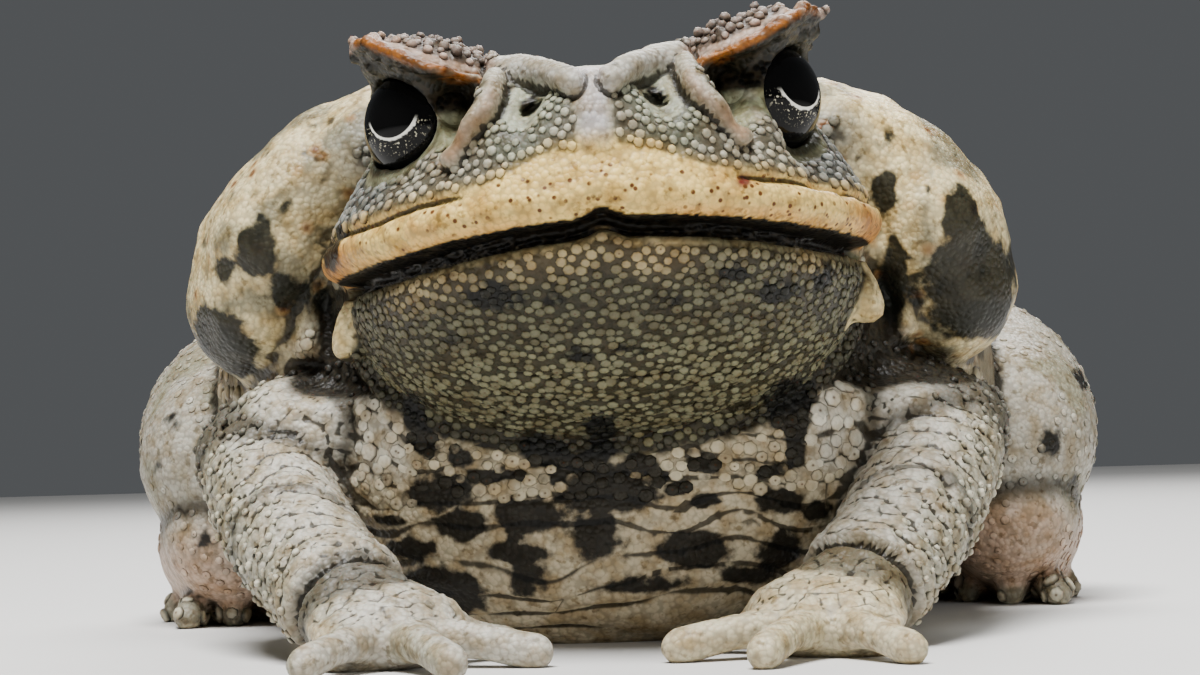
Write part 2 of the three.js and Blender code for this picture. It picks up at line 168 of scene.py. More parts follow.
# Brow visor over the eye: its rim from the inner corner out to the tip and back, and its warty top
VISOR_RIM = [
    (10.8, -57, 61, 0.7, 1.0),
    (14.4, -59.2, 61.6, 0.8, 1.4),
    (18.2, -59.2, 63, 0.8, 1.7),
    (21.4, -57, 64.9, 0.8, 1.8),
    (23.9, -52.8, 66.5, 0.8, 1.6),
    (24, -47.6, 66.2, 0.85, 1.4),
    (21.6, -42, 64.2, 0.85, 1.2),
    (17.6, -38, 61.6, 0.85, 1.2),
]
BROW_MOUND_CENTRE = (16.6, -48.4, 63)
BROW_MOUND_RADII = (8.4, 9.6, 3.6)
BROW_MOUND_TILT = math.radians(17)

NOSTRIL_CENTRE = (6.6, -66.6, 57.6)
NOSTRIL_RADII = (0.62, 1.8, 1.35)
NOSTRIL_LEAN = -0.9

# Parotoid gland: path of its thick middle, with the half length along Y and the half thickness
PAROTOID_PATH = [
    (25.5, -25, 57.5, 9, 7),
    (31.5, -20, 53.5, 14, 9.2),
    (37.5, -16.5, 46.5, 16, 10.2),
    (40.6, -16, 39.4, 13, 8.8),
]
# How much a distance along Y counts at the gland, which is longer than it is thick
PAROTOID_SQUASH = 0.64

# Reddened tip of the left hand's inner finger
RED_FINGERTIP = (9.4, -57.4, 1.5)

# Red wart on the left half of the upper lip: its place in the head's frame and its radius
RED_WART = (14.6, -63, 47.6)
RED_WART_RADIUS = 1.1

# Lobe that hangs at each corner of the mouth
MOUTH_LOBE_PATH = [
    (28.2, -40, 41, 1.1, 1.1),
    (28.8, -41, 38.2, 1.4, 1.4),
    (28.9, -41.6, 35, 2.1, 2.1),
]

# Limb joints of the two sides, each with the half width and half height of the limb
ARM = {
    "left": {
        "shoulder": (26, -27, 26, 8, 8),
        "above_elbow": (34, -28, 25, 7.4, 7.4),
        "elbow": (40, -25, 23, 7, 7),
        "mid_forearm": (33.4, -41, 13.4, 7.5, 7.2),
        "wrist": (25.4, -56, 5.6, 6.6, 5.6),
    },
    "right": {
        "shoulder": (-26, -28, 25, 8, 8),
        "above_elbow": (-35, -29, 24, 7.4, 7.4),
        "elbow": (-41, -26, 22, 6.9, 6.9),
        "mid_forearm": (-34.6, -42, 12.6, 7.4, 7.1),
        "wrist": (-26.6, -57, 5.4, 6.6, 5.6),
    },
}
PALM = {"inwards": 4, "forwards": 6.5, "half_width": 9, "half_height": 4.4}
# Fingers: how far each tip lies from the wrist, inwards and forwards, and the radius
FINGERS = [(16, -1, 1.95), (19, 11, 2.1), (11, 21.5, 2.1), (-3.5, 20.5, 2.0)]
DIGIT_TIP_Z = 1.5

THIGH_PATH = [
    (20, 50, 28, 13, 13),
    (38, 43, 26, 16.5, 16.5),
    (48.6, 31, 24.6, 17, 17.4),
    (50.6, 17, 21.6, 13.4, 14),
]
SHIN_PATH = [
    (52, 13, 11.5, 8.6, 9),
    (53.6, 28, 9.4, 9.6, 10),
    (48.4, 46, 8.4, 8.4, 9),
    (36, 60, 7.4, 6.6, 7),
]
FOOT_PATH = [
    (33, 61, 5.4, 5.2, 5),
    (46, 52, 4.6, 5.4, 4.8),
    (57.6, 39, 4, 5.2, 4),
]
TOES = [(44, 27, 1.9), (47.4, 19, 2.0), (52, 12, 2.1), (57.6, 9, 2.2), (61.6, 24, 2.0)]
# How far each hind leg stands in from the paths above
HIND_LEG_INWARDS = {"left": 0.0, "right": 3.0}

# The camera that took the picture, and the picture's frame
PHOTO_WIDTH = 1200
PHOTO_HEIGHT = 675
FOCAL_PIXELS = 2662.0
CAMERA_PLACE = (-0.5, -335.0, 21.6)
CAMERA_PITCH = math.radians(2.4)
CAMERA_ROLL = math.radians(1.6)
SENSOR_WIDTH = 36.0

# Dark blotches, by where the picture shows them: across and down in its pixels, half the width and
# half the height in pixels, and how strong each is
THROAT_BLOTCHES = [
    (491, 296, 26, 13, 1.0), (553, 300, 14, 7, 0.7), (667, 300, 22, 12, 0.6), (736, 274, 16, 8, 0.9),
    (777, 293, 26, 13, 0.8), (577, 355, 22, 13, 0.6), (629, 348, 18, 13, 0.6), (610, 282, 20, 8, 0.5),
    (450, 340, 26, 10, 0.5), (740, 350, 30, 12, 0.5), (540, 395, 30, 7, 0.4), (690, 395, 34, 7, 0.4),
    (430, 300, 24, 8, 0.5), (820, 280, 18, 14, 0.7),
]
CHEST_BLOTCHES = [
    (788, 400, 23, 25, 1.0), (795, 441, 9, 28, 1.0), (602, 427, 14, 15, 1.0), (600, 450, 13, 12, 1.0),
    (580, 465, 16, 7, 1.0), (560, 478, 13, 6, 1.0), (640, 463, 15, 9, 1.0), (657, 475, 14, 8, 1.0),
    (680, 488, 15, 7, 1.0), (702, 501, 14, 7, 1.0), (543, 451, 21, 13, 1.0), (492, 475, 27, 7, 1.0),
    (460, 458, 15, 12, 0.8), (609, 489, 36, 20, 1.1), (440, 491, 29, 15, 1.0), (459, 525, 23, 13, 1.0),
    (529, 515, 25, 15, 1.1), (595, 531, 31, 24, 0.85), (512, 553, 29, 9, 1.0), (695, 550, 28, 15, 1.1),
    (705, 465, 22, 9, 0.9), (764, 472, 29, 8, 0.9), (777, 500, 26, 10, 1.0), (819, 512, 13, 9, 1.0),
    (750, 524, 16, 5, 0.7), (781, 551, 24, 18, 0.9), (753, 575, 32, 12, 0.8), (650, 586, 54, 12, 0.75),
    (526, 577, 23, 22, 0.8), (443, 593, 35, 20, 1.2), (388, 520, 18, 6, 0.8), (412, 548, 24, 10, 0.9),
    (385, 475, 16, 5, 0.7), (414, 413, 10, 24, 1.0), (426, 441, 12, 13, 1.0), (356, 425, 20, 26, 0.5),
]
GLAND_BLOTCHES = [
    (256, 251, 19, 26, 0.95), (262, 222, 9, 10, 0.8), (224, 268, 13, 15, 0.8), (220, 345, 29, 29, 1.15),
    (285, 292, 16, 18, 0.9), (301, 293, 15, 12, 0.7), (330, 250, 18, 26, 0.9), (287, 202, 11, 13, 0.65),
    (322, 300, 14, 24, 0.7), (974, 282, 40, 38, 1.2), (962, 218, 17, 26, 1.0), (975, 235, 17, 22, 1.0),
    (990, 322, 34, 14, 1.1), (894, 280, 11, 38, 0.95), (886, 193, 13, 20, 0.9), (890, 137, 13, 15, 0.6),
    (927, 184, 7, 20, 0.6), (1012, 260, 12, 24, 0.7),
]
HAUNCH_BLOTCHES = [
    (170, 420, 18, 12, 0.7), (160, 470, 14, 16, 0.6), (205, 540, 16, 20, 0.6), (1060, 330, 14, 12, 0.8),
    (1080, 380, 12, 18, 0.8), (1040, 300, 14, 10, 0.8), (1050, 440, 16, 20, 0.7), (1075, 480, 12, 14, 0.6),
]
# How far a blotch reaches along the camera's view, in millimetres, and how much larger it is
# made than it is listed, as its frayed edge takes some away
BLOTCH_DEPTH = 9.0
BLOTCH_GROWTH = 1.2


def camera_axes():
    """The camera's own right, up and ahead in the toad's frame."""
    ahead = np.array([0, math.cos(CAMERA_PITCH), math.sin(CAMERA_PITCH)])
    level_up = np.array([0, -math.sin(CAMERA_PITCH), math.cos(CAMERA_PITCH)])
    right = np.array([1.0, 0, 0]) * math.cos(CAMERA_ROLL) - level_up * math.sin(CAMERA_ROLL)
    return right, np.cross(right, ahead), ahead


def frame_shift():
    """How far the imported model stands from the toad's own frame: its left eye's centre against the
    eye's place here, turned with the head."""
    low, high = (np.array(corner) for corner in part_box("eye_left"))
    eye = rolled(np.array([EYE]))[0]
    return ((low + high) / 2 / MM - eye) * (1, 1, 0)


def to_frame(points):
    """Points in the toad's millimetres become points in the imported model's metres."""
    return (np.asarray(points, dtype=float) + frame_shift()) * MM


def within_solids(points):
    """Points in metres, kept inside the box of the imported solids."""
    low, high = (np.array(corner) for corner in CAD_BOX)
    return np.clip(points, low, high)


# Numbers and surfaces


def glide(rows, t):
    """A smooth curve through rows of numbers: between two rows a cubic whose slopes are half the
    difference of the rows on either side."""
    rows = np.asarray(rows, dtype=float)
    span = np.clip(t, 0, 1) * (len(rows) - 1)
    index = np.minimum(span.astype(int), len(rows) - 2)
    f = (span - index)[..., None]
    before, start = rows[np.maximum(index - 1, 0)], rows[index]
    end, after = rows[index + 1], rows[np.minimum(index + 2, len(rows) - 1)]
    slope_in, slope_out, rise = (end - before) / 2, (after - start) / 2, end - start
    return (start + slope_in * f + (3 * rise - 2 * slope_in - slope_out) * f ** 2
            + (slope_in + slope_out - 2 * rise) * f ** 3)


def squared(value, power):
    """A sine or cosine raised to a power, with its sign kept."""
    return np.sign(value) * np.abs(value) ** power


def smooth_step(low, high, value):
    """0 below low, 1 above high, and 3 x squared less 2 x cubed between them."""
    x = np.clip((value - low) / (high - low), 0, 1)
    return x * x * (3 - 2 * x)


def normals_of(points, faces):
    """The sum of the cross products of the faces round each vertex, made one long."""
    a, b, c = (points[faces[:, k]] for k in range(3))
    cross = np.cross(b - a, c - a)
    total = np.zeros_like(points)
    for axis in range(3):
        for corner in range(3):
            total[:, axis] += np.bincount(faces[:, corner], cross[:, axis], len(points))
    return total / np.maximum(np.linalg.norm(total, axis=1, keepdims=True), 1e-12)


def closed_form(place, columns, rows):
    """A closed surface: place(u, v) over u round it and v from pole to pole, faces outwards."""
    u, v = np.meshgrid(np.arange(columns) / columns, np.arange(1, rows) / rows)
    ring = place(u, v).reshape(-1, 3)
    ends = place(np.zeros(2), np.array([0.0, 1.0])).reshape(-1, 3)
    points = np.vstack([ring, ends])
    first = np.arange(columns)
    following = (first + 1) % columns
    lower = (np.arange(rows - 2) * columns)[:, None]
    a, b = lower + first, lower + following
    c, d = b + columns, a + columns
    low_pole, high_pole = len(ring), len(ring) + 1
    last = (rows - 2) * columns
    faces = np.vstack([
        np.stack([a, b, c], -1).reshape(-1, 3),
        np.stack([a, c, d], -1).reshape(-1, 3),
        np.stack([np.full(columns, low_pole), following, first], -1),
        np.stack([np.full(columns, high_pole), last + first, last + following], -1),
    ])
    corners = points[faces]
    volume = np.einsum("ij,ij->i", corners[:, 0], np.cross(corners[:, 1], corners[:, 2])).sum()
    return points, faces[:, ::-1] if volume < 0 else faces


def ellipsoid(centre, radii, columns, rows):
    """Centre plus the radii times the unit sphere's x, y and z."""
    def place(u, v):
        around, down = 2 * np.pi * u, np.pi * v
        unit = np.stack([np.sin(down) * np.cos(around), np.sin(down) * np.sin(around), np.cos(down)], -1)
        return np.asarray(centre) + unit * radii
    return closed_form(place, columns, rows)


def limb(path, across, columns, rows, cap=0.16):
    """Oval sections along a smooth path, with round ends: each row of the path is x, y, z, the
    half width along `across` and the half height."""
    reference = np.asarray(across, dtype=float)

    def place(u, v):
        t = np.clip((v - cap) / (1 - 2 * cap), 0, 1)
        row = glide(path, t)
        tangent = glide(path, t + 0.01)[..., :3] - glide(path, t - 0.01)[..., :3]
        tangent /= np.linalg.norm(tangent, axis=-1, keepdims=True)
        side = reference - tangent * (tangent @ reference)[..., None]
        side /= np.linalg.norm(side, axis=-1, keepdims=True)
        up = np.cross(tangent, side)
        start = np.clip(v / cap, 0, 1) * np.pi / 2
        finish = np.clip((1 - v) / cap, 0, 1) * np.pi / 2
        lean = np.cos(finish) - np.cos(start)
        open_ = (np.sin(start) * np.sin(finish))[..., None]
        half_width, half_height = row[..., 3:4], row[..., 4:5]
        around = (2 * np.pi * u)[..., None]
        return (row[..., :3] + tangent * lean[..., None] * np.minimum(half_width, half_height)
                + side * open_ * half_width * np.cos(around) + up * open_ * half_height * np.sin(around))
    return closed_form(place, columns, rows)


def mirrored(path, side, inwards=0.0):
    """A path given for the left side, taken to either side and moved in towards the middle."""
    return [((row[0] - inwards) * side, *row[1:]) for row in path]


def rolled(points, turn=HEAD_ROLL):
    """Turns points about the head's roll axis, so that the left side rises."""
    offset = np.array([0, 0, HEAD_ROLL_Z])
    cosine, sine = math.cos(turn), math.sin(turn)
    matrix = np.array([[cosine, 0, -sine], [0, 1, 0], [sine, 0, cosine]])
    return (points - offset) @ matrix.T + offset


def segment_distance(points, start, end):
    """Distance from points to a straight stretch, and how far along it the nearest place is."""
    start, end = np.asarray(start, dtype=float), np.asarray(end, dtype=float)
    along = end - start
    t = np.clip((points - start) @ along / (along @ along), 0, 1)
    return np.linalg.norm(points - start - t[:, None] * along, axis=1), t


def path_field(points, path, squash=1.0, stretches=8):
    """The gap from points to a limb's surface, and the place along its path from 0 to 1. Where the
    limb is wide along Y, that direction is squashed so that its section is round."""
    rows = glide(path, np.linspace(0, 1, stretches + 1))
    if squash < 1:
        points = points * (1, squash, 1)
        rows = rows * (1, squash, 1, squash, 1)
    gap = np.full(len(points), FAR)
    place = np.zeros(len(points))
    for k in range(stretches):
        distance, t = segment_distance(points, rows[k, :3], rows[k + 1, :3])
        radius = (rows[k, 3] + rows[k, 4]) / 2 * (1 - t) + (rows[k + 1, 3] + rows[k + 1, 4]) / 2 * t
        nearer = distance - radius < gap
        gap = np.where(nearer, distance - radius, gap)
        place = np.where(nearer, (k + t) / stretches, place)
    return gap, place


def line_distance(points, line):
    """Distance from points to a line of straight stretches."""
    return np.min([segment_distance(points, a, b)[0] for a, b in zip(line[:-1], line[1:])], axis=0)


# How much a distance along Y counts on the face, whose ridges are placed as seen from ahead
FACE_DEPTH_SHARE = 0.22


def face_distance(points, line):
    """Distance to a line with the distance along Y shortened."""
    scale = np.array([1, FACE_DEPTH_SHARE, 1])
    return line_distance(points * scale, [np.array(place[:3]) * scale for place in line])


def rim_height(folded):
    """The height of the visor's front rim over a place on the face."""
    front = VISOR_RIM[:5]
    return np.interp(folded[:, 0], [row[0] for row in front], [row[2] for row in front])


NOISE_SIZE = 32
NOISE_TABLE = np.random.default_rng(5).random((NOISE_SIZE, NOISE_SIZE, NOISE_SIZE))


def noise(points, scale, shift=0.0):
    """Soft random numbers from -1 to 1: a table read at the eight corners of each cell."""
    p = points / scale + shift
    cell = np.floor(p).astype(int)
    f = p - cell
    f = f * f * (3 - 2 * f)
    total = 0.0
    for corner in range(8):
        step = np.array([corner & 1, corner >> 1 & 1, corner >> 2 & 1])
        index = (cell + step) % NOISE_SIZE
        weight = np.prod(np.where(step, f, 1 - f), axis=1)
        total = total + weight * NOISE_TABLE[index[:, 0], index[:, 1], index[:, 2]]
    return total * 2 - 1


def cells(points, size, shift=0.0):
    """Distance to the nearest of one random centre a cell, in cells, and that cell's number."""
    p = points / size + shift
    cell = np.floor(p).astype(int)
    nearest = np.full(len(points), 9.0)
    second = np.full(len(points), 9.0)
    number = np.zeros(len(points))
    for step in np.ndindex(3, 3, 3):
        at = cell + np.array(step) - 1
        index = at % NOISE_SIZE
        jitter = np.stack([NOISE_TABLE[index[:, k], index[:, (k + 1) % 3], index[:, (k + 2) % 3]]
                           for k in range(3)], -1)
        distance = np.linalg.norm(p - at - 0.15 - 0.7 * jitter, axis=1)
        closer = distance < nearest
        second = np.where(closer, nearest, np.minimum(second, distance))
        number = np.where(closer, jitter[:, 0], number)
        nearest = np.where(closer, distance, nearest)
    return nearest, second - nearest, number


# Forms of the body


def torso_form():
    """Stations along Y joined smoothly, each a squared oval that is taller above than below."""
    def place(u, v):
        row = glide(TORSO_STATIONS, v)
        y, half_width, top, bottom, wide = (row[..., k] for k in range(5))
        sine = squared(np.sin(2 * np.pi * u), TORSO_SQUARENESS)
        height = np.where(sine > 0, top - wide, wide - bottom)
        cosine = squared(np.cos(2 * np.pi * u), TORSO_SQUARENESS)
        return np.stack([half_width * cosine, y, wide + height * sine], -1)
    return closed_form(place, 180, 150)


def jaw_dome(rows, columns, steps):
    """Rows of reaches about a vertical axis: x is the side reach by the sine of the azimuth, y
    the front reach by its cosine, and z goes from the side's to the front's by its fourth power."""
    def place(u, v):
        row = glide(rows, v)
        front_reach, front_z, side_reach, side_z = (row[..., k] for k in range(4))
        around = (u - 0.5) * 2 * np.pi
        azimuth = around - 0.3 * np.sin(around)
        sine = squared(np.sin(azimuth), SNOUT_BLUNTNESS)
        cosine = squared(np.cos(azimuth), SNOUT_BLUNTNESS)
        depth = np.where(cosine > 0, front_reach, side_reach * HEAD_BACK_SHARE)
        frontness = np.maximum(cosine, 0) ** FRONTNESS_POWER
        return np.stack([side_reach * sine, HEAD_AXIS_Y - depth * cosine,
                         side_z + (front_z - side_z) * frontness], -1)
    return closed_form(place, columns, steps)


def upper_head_form():
    """The dome of the upper head, raised along its normals by its ridges and sunk by its hollows."""
    points, faces = jaw_dome(UPPER_HEAD, 300, 160)
    folded = points * (1, 1, 1)
    folded[:, 0] = np.abs(folded[:, 0])
    height = np.zeros(len(points))
    for width, rise, line in HEAD_RIDGES.values():
        height += SOFT_SHARE * rise * np.exp(-(face_distance(folded, line) / width) ** 2)
    side_x = np.abs(points[:, 0])
    forward = points[:, 1] < HEAD_AXIS_Y
    above_mouth = points[:, 2] - mouth_height(np.arctan2(points[:, 0], HEAD_AXIS_Y - points[:, 1]))
    groove_line = np.exp(-((above_mouth - 4.4) / 0.45) ** 2) * smooth_step(13, 18, side_x)
    height -= np.where(forward, 0.55 * groove_line, 0)
    points = points + normals_of(points, faces) * height[:, None]
    return rolled(points), faces


def lower_jaw_form():
    points, faces = jaw_dome(LOWER_JAW, 240, 100)
    return rolled(points), faces


def turned(points, matrix):
    return points @ np.array(matrix.to_3x3()).T


def eye_centre(side):
    return np.array([EYE[0] * side, EYE[1], EYE[2]])


def lid_edge(u, name):
    """Unit directions from the eye's centre to the edge of the lids: the front corner at u = 0,
    over the top to the back corner at u = 0.5, and back along the lower lid. Each half is a
    quarter wave up to its farthest azimuth and a quarter wave down from it."""
    side = SIDES[name]
    front, back = LID_CORNERS[name]
    upper, lower = UPPER_LID_EDGE[name], LOWER_LID_EDGE[name]
    over = u < 0.5
    t = np.where(over, u * 2, 2 - u * 2)
    azimuth = front + (back - front) * (1 - np.cos(np.pi * t)) / 2
    peak = np.where(over, upper[0], lower[0])
    rise = np.where(over, upper[1], lower[1]) - LID_CORNER_LEVEL
    share = np.where(azimuth < peak, (peak - azimuth) / (peak - front), (azimuth - peak) / (back - peak))
    level = np.radians(LID_CORNER_LEVEL + rise * np.sqrt(np.maximum(1 - share ** 2, 0)))
    azimuth = np.radians(azimuth)
    return np.stack([side * np.sin(azimuth) * np.cos(level), -np.cos(azimuth) * np.cos(level),
                     np.sin(level)], -1)


def eye_cutters(name):
    """The eyeball's socket, and a plug out of the opening between the lids: rays from the eye's
    centre, from the middle of the opening out to its edge, between two radii."""
    centre = eye_centre(SIDES[name])
    socket, socket_faces = ellipsoid(centre, (EYE_RADIUS + 0.1,) * 3, 64, 40)
    middle = lid_edge(np.linspace(0, 1, 40, endpoint=False), name).mean(axis=0)
    middle /= np.linalg.norm(middle)

    def place(u, v):
        share = np.clip(np.minimum(v, 1 - v) / 0.3, 0, 1)[..., None]
        radius = EYE_RADIUS * (0.7 + 1.5 * np.clip((v - 0.3) / 0.4, 0, 1))[..., None]
        ray = middle * (1 - share) + lid_edge(u, name) * share
        return centre + ray / np.linalg.norm(ray, axis=-1, keepdims=True) * radius
    plug, plug_faces = closed_form(place, 96, 40)
    return [(rolled(socket), socket_faces), (rolled(plug), plug_faces)]


# Hollows beside the throat, over the shoulder and behind the lobe, pushed back and painted with shade: x
# and half width, z and half height of each
HOLLOWS = {
    "left": [(34, 9.5, 30.9, 2.9), (31.4, 3.2, 36, 6)],
    "right": [(30, 6.4, 31, 2.6), (30, 3.4, 35.4, 6)],
}
HOLLOW_DEPTH = 5.0
# How much farther than it is the throat counts, so that the fold under it isn't all painted shade
THROAT_OPENNESS = 1.7

# Mouth: its gap, its depth, the height of the notch in its middle, the azimuth of its corners in
# radians, and the number of sections of its cutter
MOUTH_GAP = 0.7
MOUTH_DEPTH = 3.2
MOUTH_NOTCH = 1.0
MOUTH_CORNER = 1.42
MOUTH_SECTIONS = 61


def mouth_height(azimuth):
    """Height of the upper lip's lower edge in the head's frame, with the notch in its middle."""
    lower, upper = UPPER_HEAD[2][3], UPPER_HEAD[2][1]
    line = lower + (upper - lower) * np.maximum(np.cos(azimuth), 0) ** FRONTNESS_POWER
    return line + MOUTH_NOTCH * np.exp(-(azimuth / 0.05) ** 2)


def mouth_cutter():
    """A flat band through the lips: an oval section carried round the head just under the upper
    lip's edge, from one corner of the mouth to the other."""
    azimuth = np.linspace(-MOUTH_CORNER, MOUTH_CORNER, MOUTH_SECTIONS)
    front, side = LOWER_JAW[3][0], LOWER_JAW[3][2]
    path = np.stack([
        (side - 0.4) * squared(np.sin(azimuth), SNOUT_BLUNTNESS),
        HEAD_AXIS_Y - (front - 0.4) * squared(np.cos(azimuth), SNOUT_BLUNTNESS),
        mouth_height(azimuth) - MOUTH_GAP * 0.8,
        np.full(MOUTH_SECTIONS, MOUTH_GAP),
        np.full(MOUTH_SECTIONS, MOUTH_DEPTH),
    ], -1)
    points, faces = limb(path, (0, 0, 1), 16, 160, 0.02)
    return rolled(points), faces


def brow_forms(side):
    """A tilted oval mound, and the rim of the visor round its outer edge."""
    mound, mound_faces = ellipsoid((0, 0, 0), BROW_MOUND_RADII, 80, 40)
    mound = turned(mound, Matrix.Rotation(-BROW_MOUND_TILT * side, 3, "Y"))
    mound = mound + (BROW_MOUND_CENTRE[0] * side, *BROW_MOUND_CENTRE[1:])
    rim, rim_faces = limb(mirrored(VISOR_RIM, side), (0, 0, 1), 32, 90)
    return [(rolled(mound), mound_faces), (rolled(rim), rim_faces)]


def lid_form(side):
    ball, faces = ellipsoid(eye_centre(side), (LID_RADIUS,) * 3, 72, 48)
    return rolled(ball), faces


def arm_paths(name):
    joints = ARM[name]
    upper = [joints["shoulder"], joints["above_elbow"], joints["elbow"]]
    lower = [joints["elbow"], joints["mid_forearm"], joints["wrist"]]
    return upper, lower


def hand_paths(name):
    """The palm's path, and the path of each finger from the palm through its knuckle to its tip."""
    side = SIDES[name]
    wrist = ARM[name]["wrist"]
    palm = (wrist[0] - PALM["inwards"] * side, wrist[1] - PALM["forwards"], PALM["half_height"] * 0.75)
    palm_path = [(*wrist[:3], 6.2, 5.2), (*palm, PALM["half_width"], PALM["half_height"])]
    fingers = []
    for inwards, forwards, radius in FINGERS:
        tip = (wrist[0] - inwards * side, wrist[1] - forwards)
        middle = ((palm[0] + tip[0]) / 2, (palm[1] + tip[1]) / 2)
        fingers.append([
            (palm[0], palm[1], palm[2] * 0.8, radius * 1.7, radius * 1.4),
            (*middle, DIGIT_TIP_Z + 1.4, radius, radius),
            (*tip, DIGIT_TIP_Z, radius * 1.05, radius * 0.95),
        ])
    return palm_path, fingers


def foot_paths(name):
    """The sole's path, and the path of each toe from the ball of the foot to its tip."""
    ball = FOOT_PATH[-1]
    side, inwards = SIDES[name], HIND_LEG_INWARDS[name]
    toes = []
    for x, y, radius in TOES:
        middle = ((ball[0] + x) / 2, (ball[1] + y) / 2)
        toes.append(mirrored([
            (ball[0], ball[1], ball[2] * 0.8, radius * 1.4, radius * 1.3),
            (*middle, DIGIT_TIP_Z + 1, radius, radius),
            (x, y, DIGIT_TIP_Z, radius, radius * 0.95),
        ], side, inwards))
    return mirrored(FOOT_PATH, side, inwards), toes


def limb_forms():
    forms = []
    for name, side in SIDES.items():
        upper, lower = arm_paths(name)
        palm, fingers = hand_paths(name)
        sole, toes = foot_paths(name)
        forms += [
            limb(mirrored(PAROTOID_PATH, side), (0, 1, 0), 90, 80, 0.28),
            limb(upper, (0, 0, 1), 60, 40),
            limb(lower, (1, 0, 0), 60, 60),
            limb(palm, (1, 0, 0), 50, 40, 0.3),
            limb(mirrored(THIGH_PATH, side, HIND_LEG_INWARDS[name]), (0, 0, 1), 90, 80, 0.22),
            limb(mirrored(SHIN_PATH, side, HIND_LEG_INWARDS[name]), (0, 0, 1), 60, 60, 0.2),
            limb(sole, (1, 0, 0), 40, 40),
        ]
        forms += [limb(path, (0, 0, 1), 24, 36) for path in fingers + toes]
    return forms


# Meshes


def joined(forms):
    """One array of points and one of faces out of many forms."""
    offsets = np.cumsum([0] + [len(points) for points, _ in forms[:-1]])
    points = np.vstack([points for points, _ in forms])
    faces = np.vstack([faces + offset for (_, faces), offset in zip(forms, offsets)])
    return points, faces


def new_object(name, points, faces):
    """An object whose mesh holds the points, in metres, and the three-cornered faces."""
    mesh = bpy.data.meshes.new(name)
    mesh.vertices.add(len(points))
    mesh.vertices.foreach_set("co", np.ascontiguousarray(points, dtype=np.float32).ravel())
    mesh.loops.add(faces.size)
    mesh.loops.foreach_set("vertex_index", np.ascontiguousarray(faces, dtype=np.int32).ravel())
    mesh.polygons.add(len(faces))
    mesh.polygons.foreach_set("loop_start", np.arange(0, faces.size, 3, dtype=np.int32))
    mesh.update(calc_edges=True)
    obj = bpy.data.objects.new(name, mesh)
    bpy.context.scene.collection.objects.link(obj)
    return obj


def arrays_of(obj):
    """The evaluated mesh of an object as points in metres and three-cornered faces."""
    evaluated = obj.evaluated_get(bpy.context.evaluated_depsgraph_get())
    mesh = evaluated.to_mesh()
    mesh.calc_loop_triangles()
    points = np.empty(len(mesh.vertices) * 3, dtype=np.float32)
    mesh.vertices.foreach_get("co", points)
    faces = np.empty(len(mesh.loop_triangles) * 3, dtype=np.int32)
    mesh.loop_triangles.foreach_get("vertices", faces)
    evaluated.to_mesh_clear()
    return points.reshape(-1, 3).astype(float), faces.reshape(-1, 3)


def discard(*objects):
    for obj in objects:
        mesh = obj.data
        bpy.data.objects.remove(obj)
        bpy.data.meshes.remove(mesh)


def add_attribute(obj, name, values):
    """A float or colour for each vertex."""
    kind = "FLOAT" if values.ndim == 1 else "FLOAT_COLOR"
    layer = obj.data.attributes.new(name, kind, "POINT")
    if kind == "FLOAT":
        layer.data.foreach_set("value", values.astype(np.float32))
    else:
        colours = np.hstack([values, np.ones((len(values), 1))])
        layer.data.foreach_set("color", colours.astype(np.float32).ravel())


def shade_smooth(obj):
    obj.data.polygons.foreach_set("use_smooth", np.ones(len(obj.data.polygons), dtype=bool))


def remeshed(points, faces, voxel):
    """A closed skin over overlapping forms, in cells of the given size in millimetres."""
    obj = new_object("forms", points * MM, faces)
    modifier = obj.modifiers.new("skin", "REMESH")
    modifier.mode = "VOXEL"
    modifier.voxel_size = voxel * MM
    result = arrays_of(obj)
    discard(obj)
    return result[0] / MM, result[1]


def carved(points, faces, cutters):
    """The first closed mesh less the others."""
    obj = new_object("carved", points * MM, faces)
    tools = []
    for cutter_points, cutter_faces in cutters:
        tool = new_object("cutter", cutter_points * MM, cutter_faces)
        modifier = obj.modifiers.new("cut", "BOOLEAN")
        modifier.operation = "DIFFERENCE"
        modifier.solver = "MANIFOLD"
        modifier.object = tool
        tools.append(tool)
    result = arrays_of(obj)
    discard(obj, *tools)
    return result[0] / MM, result[1]


def edges_of(faces):
    pairs = np.sort(np.vstack([faces[:, :2], faces[:, 1:], faces[:, ::2]]), axis=1)
    return np.unique(pairs, axis=0)


def neighbour_mean(values, edges, count):
    """The mean over each vertex's neighbours of a value or a row of values."""
    number = np.bincount(edges.ravel(), minlength=count)
    columns = []
    for column in np.atleast_2d(values.T):
        total = np.bincount(edges[:, 0], column[edges[:, 1]], count)
        columns.append((total + np.bincount(edges[:, 1], column[edges[:, 0]], count)) / number)
    return np.stack(columns, -1) if values.ndim > 1 else columns[0]


def smoothed(points, edges, strength, rounds):
    """Moves each point towards its neighbours' mean, by its own strength, a number of times."""
    for _ in range(rounds):
        points = points + strength[:, None] * (neighbour_mean(points, edges, len(points)) - points)
    return points


def largest_part(points, faces):
    """Keeps the connected part with the most vertices: each vertex takes the lowest label round
    it until none changes."""
    edges = edges_of(faces)
    label = np.arange(len(points))
    while True:
        low = np.minimum(label[edges[:, 0]], label[edges[:, 1]])
        fresh = label.copy()
        np.minimum.at(fresh, edges[:, 0], low)
        np.minimum.at(fresh, edges[:, 1], low)
        fresh = fresh[fresh]
        if np.array_equal(fresh, label):
            break
        label = fresh
    names, sizes = np.unique(label, return_counts=True)
    keep = label == names[np.argmax(sizes)]
    index = np.cumsum(keep) - 1
    return points[keep], index[faces[keep[faces[:, 0]]]]


# Where things are on the skin


